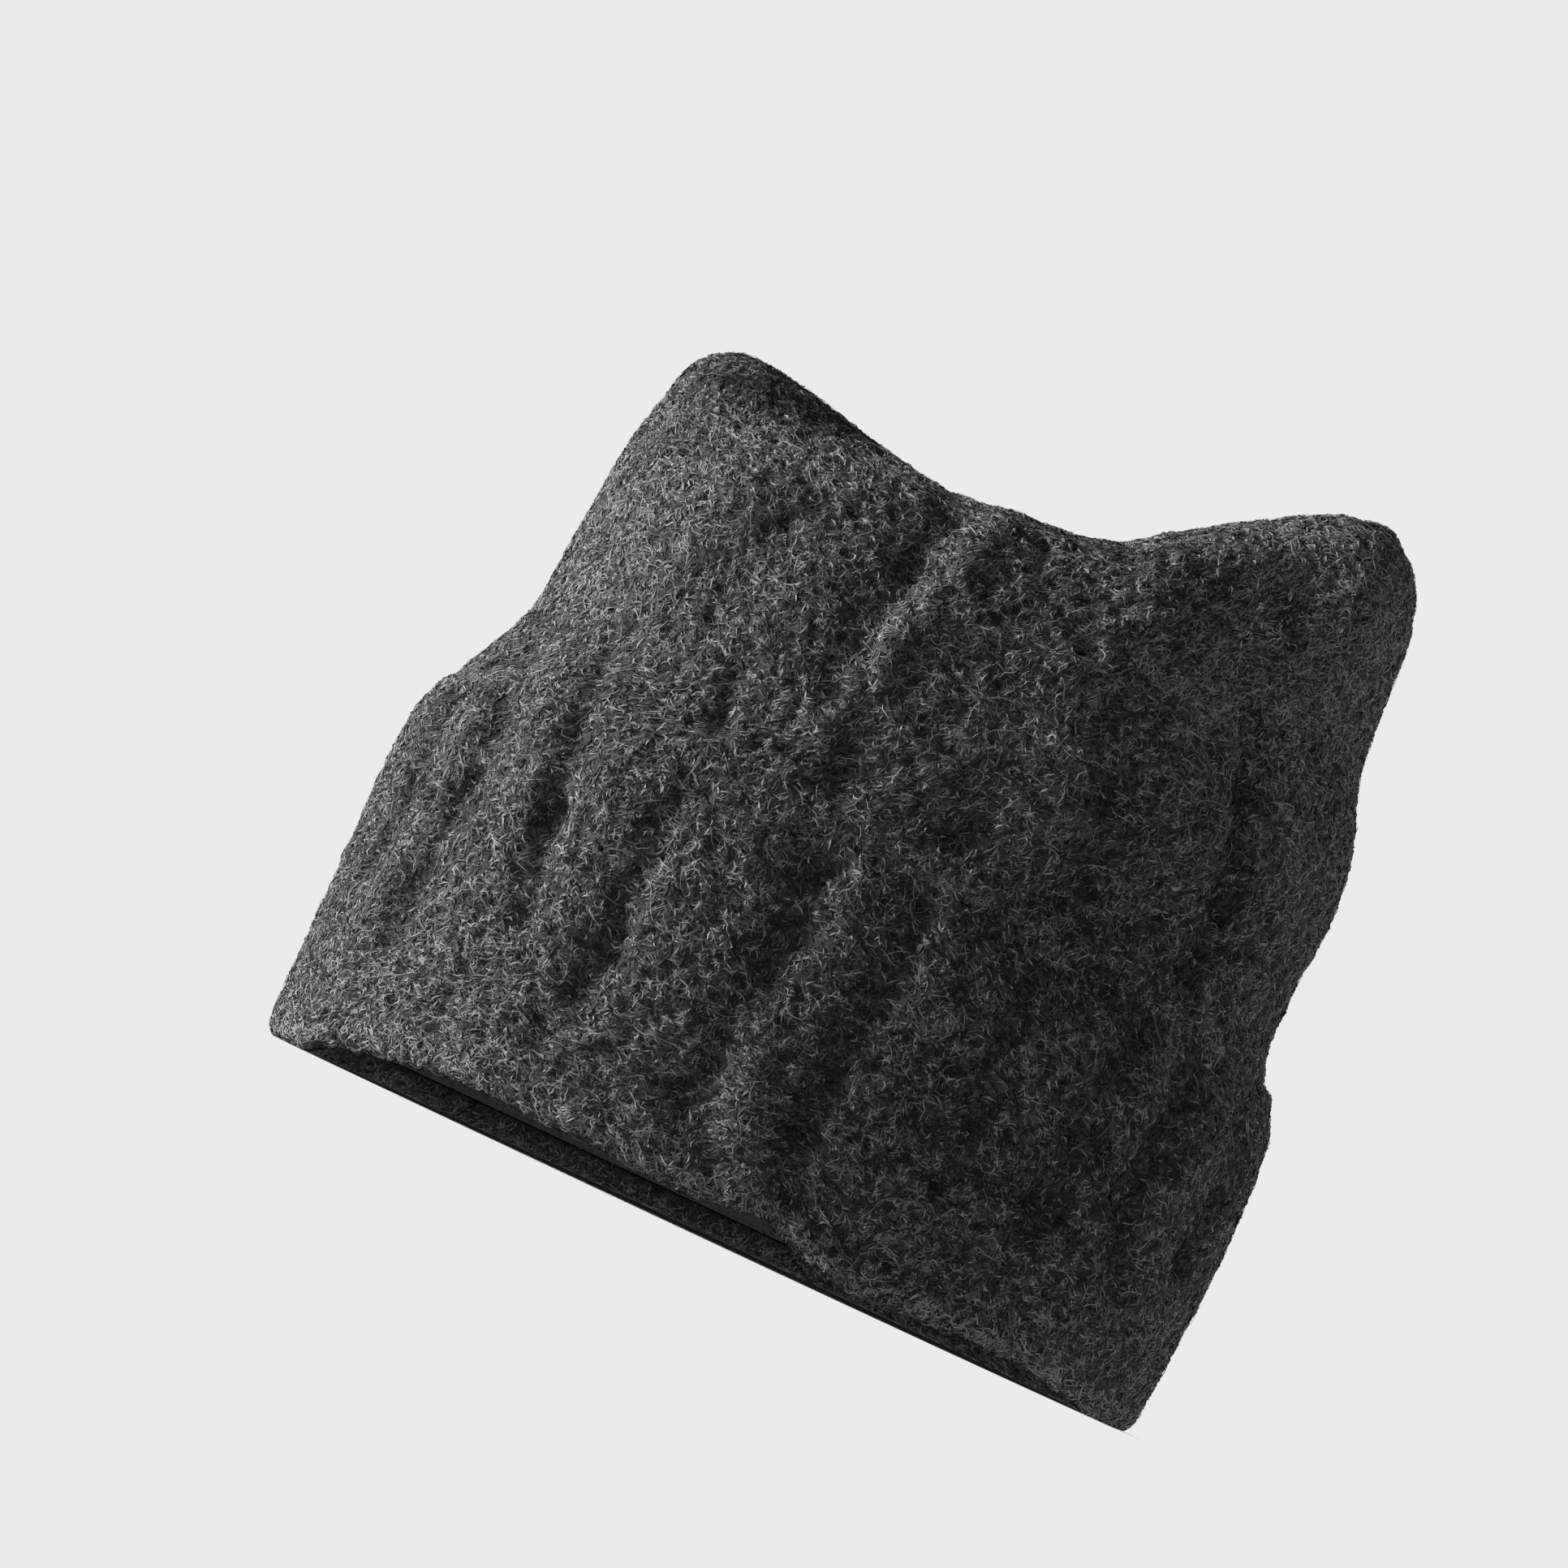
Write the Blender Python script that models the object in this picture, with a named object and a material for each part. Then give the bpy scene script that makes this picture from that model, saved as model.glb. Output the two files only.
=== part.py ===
"""Cat ear beanie: a brushed knit crown with two ears, a turned-up ribbed cuff and a smooth lining.

The hat stands on its rim. +X runs to the ear on the right of the front view, -Y is the front and
+Z is up. The tables and sizes are in millimetres, and become metres where a mesh is written.

The crown is a knitted tube that a seam closes along the top. Its front view is an outline of two
sides and a top, and its depth swells between front and back and pinches to nothing at the seam.
"""

import math
from collections import namedtuple

import bmesh
import bpy
import numpy as np

MM = 0.001

# Cloth thicknesses and the clearance between the pieces
CROWN_WALL = 4.5
CUFF_WALL = 5.0
LINING_WALL = 1.5
CUFF_GAP = 0.3
LINING_GAP = 0.5
EDGE_GAP = 0.3

# The rolled rim below the crown and the lining
RIM_HEIGHT = 5.5
RIM_FLAT = (-1.6, 2.8)

# How full each level is: 2 is an ellipse, more is squarer
FULLNESS = 2.3
SEAM_Y = -5.1

# How the depth closes towards the seam, in the middle and at the ears
DOME_POWER, DOME_ROOT = 5.0, 2.0
EAR_POWER, EAR_ROOT = 3.0, 1.3
EAR_FALLOFF = 3
# How late on the way up the levels bend to follow the top seam, and how folds fade towards it
TOP_REACH = 3.0
FOLD_FADE = 0.5
# How far from the middle an ear's lean is at its full strength
LEAN_REACH = 60.0

# How much more than its inset an inner surface stays away from the seam and from the ear tips
SEAM_INSET = 1.7
EAR_INSET = 0.3

# The cuff's ribs: the first groove's place, and a stretch where the grooves drift off their even spacing
RIB_COUNT = 24
RIB_DEPTH = 1.9
RIB_SHARPNESS = 1.6
RIB_START = 0.46
RIB_DRIFT = 0.22
RIB_DRIFT_PLACE = 0.81
RIB_DRIFT_WIDTH = 0.05
RIB_END_SHARE = 0.45
COLUMNS_PER_RIB = 5

# The cuff's upper edge
SHOULDER = 3.5
EDGE_FLARE = 0.6

# Mesh divisions
SHELL_COLUMNS = 84
CUFF_COLUMNS = RIB_COUNT * COLUMNS_PER_RIB
CUFF_LEVELS = 5
HIDDEN_ROWS = (0.0, 0.13, 0.26, 0.36)
VISIBLE_ROWS = (0.41, 0.46, 0.51, 0.56, 0.61, 0.66, 0.71, 0.76, 0.81, 0.855, 0.895, 0.93, 0.96, 0.985)
INNER_ROWS = (0.0, 0.36, 0.51, 0.66, 0.78, 0.88, 0.95)

OutlinePoint = namedtuple("OutlinePoint", "x z")
DepthRow = namedtuple("DepthRow", "z front back")
Lean = namedtuple("Lean", "side start_z tip_z shift_y")
Fold = namedtuple("Fold", "x0 z0 x1 z1 width height")
Waviness = namedtuple("Waviness", "mean cos_one sin_one cos_two")
RollPoint = namedtuple("RollPoint", "inwards rise")
EdgePoint = namedtuple("EdgePoint", "wall_share outwards drop")
Finish = namedtuple("Finish", "colour roughness")

LEFT_SIDE = [
    OutlinePoint(-99.6, RIM_HEIGHT + EDGE_GAP),
    OutlinePoint(-100.2, 45.0),
    OutlinePoint(-100.3, 76.0),
    OutlinePoint(-98.0, 92.0),
    OutlinePoint(-91.6, 108.0),
    OutlinePoint(-89.8, 125.0),
    OutlinePoint(-88.4, 144.0),
    OutlinePoint(-85.8, 164.0),
    OutlinePoint(-81.6, 175.5),
    OutlinePoint(-74.5, 180.7),
]
RIGHT_SIDE = [
    OutlinePoint(98.2, RIM_HEIGHT + EDGE_GAP),
    OutlinePoint(100.3, 45.0),
    OutlinePoint(99.0, 72.0),
    OutlinePoint(95.9, 88.0),
    OutlinePoint(95.7, 103.0),
    OutlinePoint(96.9, 121.0),
    OutlinePoint(94.9, 136.0),
    OutlinePoint(89.8, 151.0),
    OutlinePoint(88.0, 168.0),
    OutlinePoint(86.2, 187.0),
    OutlinePoint(82.0, 197.5),
    OutlinePoint(73.4, 205.4),
]
TOP_SEAM = [
    OutlinePoint(-74.5, 180.7),
    OutlinePoint(-52.5, 177.5),
    OutlinePoint(-32.8, 172.8),
    OutlinePoint(-20.1, 170.6),
    OutlinePoint(-3.5, 172.0),
    OutlinePoint(9.8, 173.3),
    OutlinePoint(18.2, 175.6),
    OutlinePoint(29.5, 183.6),
    OutlinePoint(46.0, 194.6),
    OutlinePoint(62.7, 203.4),
    OutlinePoint(73.4, 205.4),
]

# Half depths in front of and behind the seam
DEPTHS = [
    DepthRow(0.0, 68.5, 79.0),
    DepthRow(45.0, 69.9, 80.5),
    DepthRow(80.0, 67.5, 77.5),
    DepthRow(105.0, 64.5, 73.5),
    DepthRow(130.0, 63.0, 72.0),
    DepthRow(160.0, 61.0, 70.0),
    DepthRow(210.0, 58.0, 66.0),
]

# The ear at -X tips backwards and the one at +X nods forwards
LEANS = [
    Lean(-1, 140.0, 181.0, 17.0),
    Lean(1, 160.0, 205.0, -8.0),
]

# Ridges have a positive height, valleys a negative one
FRONT_FOLDS = [
    Fold(-3.0, 171.0, -14.5, 151.0, 6.0, 3.2),
    Fold(-14.5, 151.0, -21.0, 106.0, 6.5, 2.6),
    Fold(-15.0, 170.0, -24.0, 151.0, 6.0, -3.4),
    Fold(-24.0, 151.0, -33.0, 112.0, 7.0, -2.4),
    Fold(-52.0, 148.0, -69.0, 126.0, 8.0, -2.6),
    Fold(58.0, 148.0, 73.0, 106.0, 9.0, -3.6),
    Fold(34.0, 181.0, 66.0, 179.0, 8.0, -4.5),
    Fold(-60.0, 166.0, -34.0, 168.0, 7.0, 2.0),
    Fold(20.0, 140.0, 34.0, 112.0, 10.0, 1.8),
]
BACK_FOLDS = [
    Fold(30.0, 165.0, 44.0, 118.0, 9.0, -3.2),
    Fold(-40.0, 160.0, -30.0, 112.0, 10.0, -2.6),
    Fold(-4.0, 158.0, 4.0, 108.0, 12.0, 1.8),
]
CUFF_FOLDS = [
    Fold(-11.0, 48.0, 2.0, 8.0, 6.0, 0.8),
    Fold(-1.0, 48.0, 13.0, 4.0, 4.5, -2.4),
]

CUFF_TOP = Waviness(85.4, -3.25, -3.5, -2.1)

# The rolled rim: how far inwards from its outer or inner edge, at which share of its height
OUTER_ROLL = [RollPoint(0.8, 0.45), RollPoint(2.1, 0.12)]
INNER_ROLL = [RollPoint(-1.5, 0.15), RollPoint(-0.4, 0.5), RollPoint(0.0, 1.0)]
# The round of the cuff's upper edge, from the inside to the outside
TOP_EDGE = [EdgePoint(0.7, 0.4, 0.2), EdgePoint(0.9, 0.1, 1.0)]

BRUSHED_KNIT = Finish((0.040, 0.041, 0.043, 1.0), 0.95)
CUFF_KNIT = Finish((0.046, 0.047, 0.049, 1.0), 0.95)
SMOOTH_LINING = Finish((0.016, 0.016, 0.017, 1.0), 0.85)


def smooth_line(rows, steps=20):
    """Closely spaced points on a smooth curve through the rows."""
    knots = np.array(rows, float)
    reach = np.linalg.norm(np.diff(knots, axis=0), axis=1)
    place = np.concatenate([[0.0], np.cumsum(reach)])
    slope = np.gradient(knots, place, axis=0)
    points = []
    for i, span in enumerate(reach):
        u = np.linspace(0.0, 1.0, steps, endpoint=False)[:, None]
        points.append(
            (2 * u**3 - 3 * u**2 + 1) * knots[i]
            + (u**3 - 2 * u**2 + u) * span * slope[i]
            + (3 * u**2 - 2 * u**3) * knots[i + 1]
            + (u**3 - u**2) * span * slope[i + 1]
        )
    points.append(knots[-1:])
    return np.vstack(points)


def along(line, share):
    """The x and z of a line at a share of its length."""
    reach = np.concatenate([[0.0], np.cumsum(np.linalg.norm(np.diff(line, axis=0), axis=1))])
    place = np.asarray(share) * reach[-1]
    return np.interp(place, reach, line[:, 0]), np.interp(place, reach, line[:, 1])


def ease(value):
    """A smooth step from 0 to 1."""
    value = np.clip(value, 0.0, 1.0)
    return value * value * (3 - 2 * value)


LEFT_LINE = smooth_line(LEFT_SIDE)
RIGHT_LINE = smooth_line(RIGHT_SIDE)
TOP_LINE = smooth_line(TOP_SEAM)


def fold_height(folds, x, z):
    """How far the folds lift the cloth at a place in the front or back view."""
    total = np.zeros(np.broadcast(x, z).shape)
    for fold in folds:
        run = np.array([fold.x1 - fold.x0, fold.z1 - fold.z0])
        share = ((x - fold.x0) * run[0] + (z - fold.z0) * run[1]) / (run @ run)
        near = np.clip(share, 0.0, 1.0)
        distance = np.hypot(x - fold.x0 - near * run[0], z - fold.z0 - near * run[1])
        total = total + fold.height * np.exp(-((distance / fold.width) ** 2))
    return total


def ear_lean(x, z):
    """How far the ears tip backwards at a place in the front view."""
    total = np.zeros(np.broadcast(x, z).shape)
    for lean in LEANS:
        beside = ease(lean.side * x / LEAN_REACH)
        rise = ease((z - lean.start_z) / (lean.tip_z - lean.start_z))
        total = total + lean.shift_y * beside * rise
    return total


def crown_surface(angle, t, inset=0.0):
    """The crown's surface at an angle round the hat and a share t of the way up to the seam.

    inset moves it inwards, or outwards when negative. The angle is 0 at +X and grows towards +Y.
    """
    across = np.sign(np.cos(angle)) * np.abs(np.cos(angle)) ** (2 / FULLNESS)
    swell = np.sign(np.sin(angle)) * np.abs(np.sin(angle)) ** (2 / FULLNESS)
    share = (across + 1) / 2
    pull = inset * (1 + EAR_INSET * t**4)
    left_x, left_z = along(LEFT_LINE, t)
    right_x, right_z = along(RIGHT_LINE, t)
    top_x, top_z = along(TOP_LINE, share)
    straight_x = (1 - share) * TOP_LINE[0, 0] + share * TOP_LINE[-1, 0]
    straight_z = (1 - share) * TOP_LINE[0, 1] + share * TOP_LINE[-1, 1]
    reach = t**TOP_REACH
    x = (1 - share) * (left_x + pull) + share * (right_x - pull) + reach * (top_x - straight_x)
    z = (1 - share) * left_z + share * right_z + reach * (top_z - straight_z)
    z = z - inset * SEAM_INSET * t**2
    ear = np.abs(across) ** EAR_FALLOFF
    power = DOME_POWER + (EAR_POWER - DOME_POWER) * ear
    root = DOME_ROOT + (EAR_ROOT - DOME_ROOT) * ear
    closing = (1 - t**power) ** (1 / root)
    heights = [row.z for row in DEPTHS]
    front = np.interp(z, heights, [row.front for row in DEPTHS])
    back = np.interp(z, heights, [row.back for row in DEPTHS])
    depth = np.where(swell < 0, front, back) - inset
    y = SEAM_Y + ear_lean(x, z) + depth * swell * closing
    facing = np.abs(swell) * closing**FOLD_FADE
    y = y - np.where(swell < 0, facing, 0.0) * fold_height(FRONT_FOLDS, x, z)
    y = y + np.where(swell > 0, facing, 0.0) * fold_height(BACK_FOLDS, x, z)
    return x, y, z


def share_at_height(angle, z):
    """The share of the way up at which the crown reaches height z, for one angle."""
    shares = np.linspace(0.0, 0.7, 141)
    heights = crown_surface(np.full_like(shares, angle), shares)[2]
    return float(np.interp(z, heights, shares))


def level_point(angle, z, inset):
    """A point beside the crown at an angle and a height, off its surface by the inset."""
    x, y, found = crown_surface(np.array(angle), np.array(share_at_height(angle, z)), inset)
    return float(x), float(y), z


def cuff_top(angle):
    """The height of the cuff's upper edge."""
    wave = CUFF_TOP
    return (
        wave.mean
        + wave.cos_one * math.cos(angle)
        + wave.sin_one * math.sin(angle)
        + wave.cos_two * math.cos(2 * angle)
    )


def even_angles(count):
    """Angles whose points lie an equal way apart round the cuff."""
    angle = np.linspace(0.0, 2 * math.pi, 1441)
    x, y, z = crown_surface(angle, np.full_like(angle, 0.2), -CUFF_WALL)
    reach = np.concatenate([[0.0], np.cumsum(np.hypot(np.diff(x), np.diff(y)))])
    return np.interp(np.arange(count) / count * reach[-1], reach, angle)


def rib_groove(share):
    """How deep a rib's groove is at a share of the way round, from 0 to 1."""
    drift = RIB_DRIFT * math.exp(-(((share - RIB_DRIFT_PLACE) / RIB_DRIFT_WIDTH) ** 2))
    wave = 0.5 + 0.5 * math.cos(2 * math.pi * (RIB_COUNT * share - RIB_START - drift))
    return wave**RIB_SHARPNESS


def cuff_outer_inset(share, angle, z, top):
    """The inset of the cuff's ribbed outer face, negative because it lies outside the crown."""
    height = (z - RIM_HEIGHT) / (top - RIM_HEIGHT)
    fade = RIB_END_SHARE + (1 - RIB_END_SHARE) * math.sin(math.pi * min(max(height, 0.0), 1.0))
    inset = -(CUFF_GAP + CUFF_WALL) + RIB_DEPTH * rib_groove(share) * fade
    if math.sin(angle) < 0:
        x = level_point(angle, z, inset)[0]
        inset -= float(fold_height(CUFF_FOLDS, np.array(x), np.array(z)))
    return inset


def cuff_profile(share, angle):
    """The cuff's section at an angle, from its top edge down the outside and up the inside."""
    top = cuff_top(angle)
    shoulder = top - SHOULDER
    profile = []
    for level in range(CUFF_LEVELS, -1, -1):
        z = RIM_HEIGHT + (shoulder - RIM_HEIGHT) * level / CUFF_LEVELS
        profile.append((cuff_outer_inset(share, angle, z, top), z))
    outer = profile[-1][0]
    inner = CROWN_WALL + LINING_GAP + LINING_WALL
    profile += [(outer + point.inwards, point.rise * RIM_HEIGHT) for point in OUTER_ROLL]
    profile += [(inset, 0.0) for inset in RIM_FLAT]
    profile += [(inner + point.inwards, point.rise * RIM_HEIGHT) for point in INNER_ROLL]
    profile.append((-CUFF_GAP, RIM_HEIGHT))
    for t in HIDDEN_ROWS[1:]:
        z = float(crown_surface(np.array(angle), np.array(t))[2])
        profile.append((-CUFF_GAP, z))
    profile.append((-CUFF_GAP - EDGE_FLARE, shoulder))
    edge = profile[0][0]
    profile += [(point.wall_share * edge - point.outwards, top - point.drop) for point in TOP_EDGE]
    return profile


def dressed(name, mesh, finish, parent):
    """An object with its own material."""
    material = bpy.data.materials.new(name)
    material.use_nodes = True
    shader = material.node_tree.nodes["Principled BSDF"]
    shader.inputs["Base Color"].default_value = finish.colour
    shader.inputs["Roughness"].default_value = finish.roughness
    shader.inputs["Metallic"].default_value = 0.0
    material.diffuse_color = finish.colour
    mesh.materials.append(material)
    mesh.shade_smooth()
    piece = bpy.data.objects.new(name, mesh)
    piece.parent = parent
    bpy.context.scene.collection.objects.link(piece)
    return piece


def written(name, shape):
    """A mesh from a bmesh, with its faces pointing out."""
    bmesh.ops.recalc_face_normals(shape, faces=shape.faces)
    mesh = bpy.data.meshes.new(name)
    shape.to_mesh(mesh)
    shape.free()
    return mesh


def seamed_skin(shape, rows, inset):
    """Adds one side of a seamed shell and returns its lowest ring of vertices."""
    columns = SHELL_COLUMNS
    angles = np.arange(columns) * 2 * math.pi / columns
    rings = []
    for t in rows:
        x, y, z = crown_surface(angles, np.full(columns, t), inset)
        rings.append([shape.verts.new((x[i] * MM, y[i] * MM, z[i] * MM)) for i in range(columns)])
    half = columns // 2
    x, y, z = crown_surface(angles[: half + 1], np.ones(half + 1), inset)
    seam = [shape.verts.new((x[i] * MM, y[i] * MM, z[i] * MM)) for i in range(half + 1)]
    rings.append([seam[min(i, columns - i)] for i in range(columns)])
    for lower, upper in zip(rings, rings[1:]):
        for i in range(columns):
            j = (i + 1) % columns
            shape.faces.new((lower[i], lower[j], upper[j], upper[i]))
    return rings[0]


def seamed_shell(name, outer_rows, outer_inset, wall):
    """A hollow shell of even thickness, open at the bottom and closed by the seam."""
    shape = bmesh.new()
    outer = seamed_skin(shape, outer_rows, outer_inset)
    inner = seamed_skin(shape, INNER_ROWS, outer_inset + wall)
    for i in range(SHELL_COLUMNS):
        j = (i + 1) % SHELL_COLUMNS
        shape.faces.new((outer[i], outer[j], inner[j], inner[i]))
    return written(name, shape)


def cuff_ring(name):
    """The turned-up cuff, with ribs outside and the rolled rim below."""
    shape = bmesh.new()
    rings = []
    for column, angle in enumerate(even_angles(CUFF_COLUMNS)):
        profile = cuff_profile(column / CUFF_COLUMNS, angle)
        points = [level_point(angle, z, inset) for inset, z in profile]
        rings.append([shape.verts.new((x * MM, y * MM, z * MM)) for x, y, z in points])
    for first, second in zip(rings, rings[1:] + rings[:1]):
        for i in range(len(first)):
            j = (i + 1) % len(first)
            shape.faces.new((first[i], first[j], second[j], second[i]))
    return written(name, shape)


def build_hat():
    """Builds the three pieces of the hat under one empty."""
    hat = bpy.data.objects.new("cat_ear_beanie", None)
    bpy.context.scene.collection.objects.link(hat)
    rows = HIDDEN_ROWS + VISIBLE_ROWS
    crown = seamed_shell("crown", rows, 0.0, CROWN_WALL)
    dressed("crown", crown, BRUSHED_KNIT, hat)
    dressed("cuff", cuff_ring("cuff"), CUFF_KNIT, hat)
    inside = CROWN_WALL + LINING_GAP
    lining = seamed_shell("lining", INNER_ROWS, inside, LINING_WALL)
    dressed("lining", lining, SMOOTH_LINING, hat)


for item in list(bpy.data.objects):
    bpy.data.objects.remove(item, do_unlink=True)
build_hat()
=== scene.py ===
"""The cat ear beanie, dressed: brushed charcoal knit outside and a smooth dark lining inside.

Lengths in the shape classes are millimetres in the frame's own axes, +X to the taller ear, -Y to
the front and +Z up. They become metres where a mesh is written.
"""

import logging
import math
from dataclasses import dataclass, field
from enum import Enum
from typing import TypeVar

import bpy
import numpy as np
from bpy.types import Material, Node, NodeSocket, NodeTree, Object
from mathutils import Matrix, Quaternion, Vector


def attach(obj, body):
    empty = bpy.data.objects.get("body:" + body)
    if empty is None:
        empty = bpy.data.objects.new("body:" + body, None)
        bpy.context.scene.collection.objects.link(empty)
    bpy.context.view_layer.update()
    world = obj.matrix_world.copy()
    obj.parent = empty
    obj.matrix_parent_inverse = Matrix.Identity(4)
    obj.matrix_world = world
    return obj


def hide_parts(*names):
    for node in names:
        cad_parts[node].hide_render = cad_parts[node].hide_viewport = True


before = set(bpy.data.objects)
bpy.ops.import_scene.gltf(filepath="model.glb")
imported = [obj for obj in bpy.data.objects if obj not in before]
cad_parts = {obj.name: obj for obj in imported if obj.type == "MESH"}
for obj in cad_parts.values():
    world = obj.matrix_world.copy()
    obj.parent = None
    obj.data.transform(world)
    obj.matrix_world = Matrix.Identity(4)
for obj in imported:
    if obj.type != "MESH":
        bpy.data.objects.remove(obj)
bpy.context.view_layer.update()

LOG = logging.getLogger("beanie")

MM = 0.001
TURN = 2 * math.pi
TINY = 1e-9
BODY = "root"
PHOTO_SIDE = 1932
BAKE_MAP = "OFBake"
WHITE = (1.0, 1.0, 1.0, 1.0)

Array = np.ndarray
Colour = tuple[float, float, float, float]
Inputs = dict[str | int, object]
Points = tuple[tuple[float, float], ...]
Folds = tuple[tuple[float, float, float, float, float, float], ...]
Record = TypeVar("Record")


def ease(value: Array) -> Array:
    """A smooth step from 0 to 1."""
    value = np.clip(value, 0.0, 1.0)
    return value * value * (3 - 2 * value)


def bell(value: Array) -> Array:
    """A smooth hump, 1 at 0 and almost 0 from 2 on."""
    return np.exp(-(value**2))


def power(value: Array, exponent: float) -> Array:
    """A power that keeps the sign."""
    return np.sign(value) * np.abs(value) ** exponent


def unit(vectors: Array) -> Array:
    """Vectors brought to a length of 1."""
    return vectors / np.maximum(np.linalg.norm(vectors, axis=-1, keepdims=True), TINY)


def reaches(gaps: Array) -> Array:
    """How far along each point lies, from the gaps between neighbours."""
    return np.concatenate([[0.0], np.cumsum(gaps)])


def records(kind: type[Record], *values: tuple[float, ...]) -> tuple[Record, ...]:
    """Rows of numbers as records of one kind."""
    return tuple(kind(*row) for row in values)


@dataclass(frozen=True)
class Lean:
    """How far one ear tips backwards, from where it starts to its tip."""

    side: int
    start_z: float
    tip_z: float
    shift_y: float
    reach: float = 60.0

    def at(self, x: Array, z: Array) -> Array:
        """How far places of the front view move."""
        rise = ease((z - self.start_z) / (self.tip_z - self.start_z))
        return self.shift_y * ease(self.side * x / self.reach) * rise


def fold_height(folds: Folds, x: Array, z: Array) -> Array:
    """How far folds lift the cloth, ridges up and valleys, with a negative height, down.

    Args:
        folds: The x and z of both ends in the front or back view, the width and the height of each.
        x: Places across the view.
        z: Heights in the view.

    Returns:
        The lift at each place.
    """
    total = np.zeros(np.broadcast(x, z).shape)
    for x0, z0, x1, z1, width, height in folds:
        run_x, run_z = x1 - x0, z1 - z0
        share = ((x - x0) * run_x + (z - z0) * run_z) / (run_x**2 + run_z**2)
        share = np.clip(share, 0.0, 1.0)
        total = total + height * bell(np.hypot(x - x0 - share * run_x, z - z0 - share * run_z) / width)
    return total


def along(points: Points, share: Array, steps: int = 20) -> tuple[Array, Array]:
    """Places on a smooth curve through points.

    Args:
        points: The x and z of each.
        share: Shares of the curve's length.
        steps: Samples between two of the points.

    Returns:
        The x and z of the places.
    """
    knots = np.array(points)
    spans = np.linalg.norm(np.diff(knots, axis=0), axis=1)
    slope = np.gradient(knots, reaches(spans), axis=0)
    u = np.linspace(0.0, 1.0, steps, endpoint=False)[:, None]
    runs = [
        (2 * u**3 - 3 * u**2 + 1) * knots[i]
        + (u**3 - 2 * u**2 + u) * span * slope[i]
        + (3 * u**2 - 2 * u**3) * knots[i + 1]
        + (u**3 - u**2) * span * slope[i + 1]
        for i, span in enumerate(spans)
    ]
    samples = np.vstack([*runs, knots[-1:]])
    reach = reaches(np.linalg.norm(np.diff(samples, axis=0), axis=1))
    return tuple(np.interp(share * reach[-1], reach, values) for values in samples.T)


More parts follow.
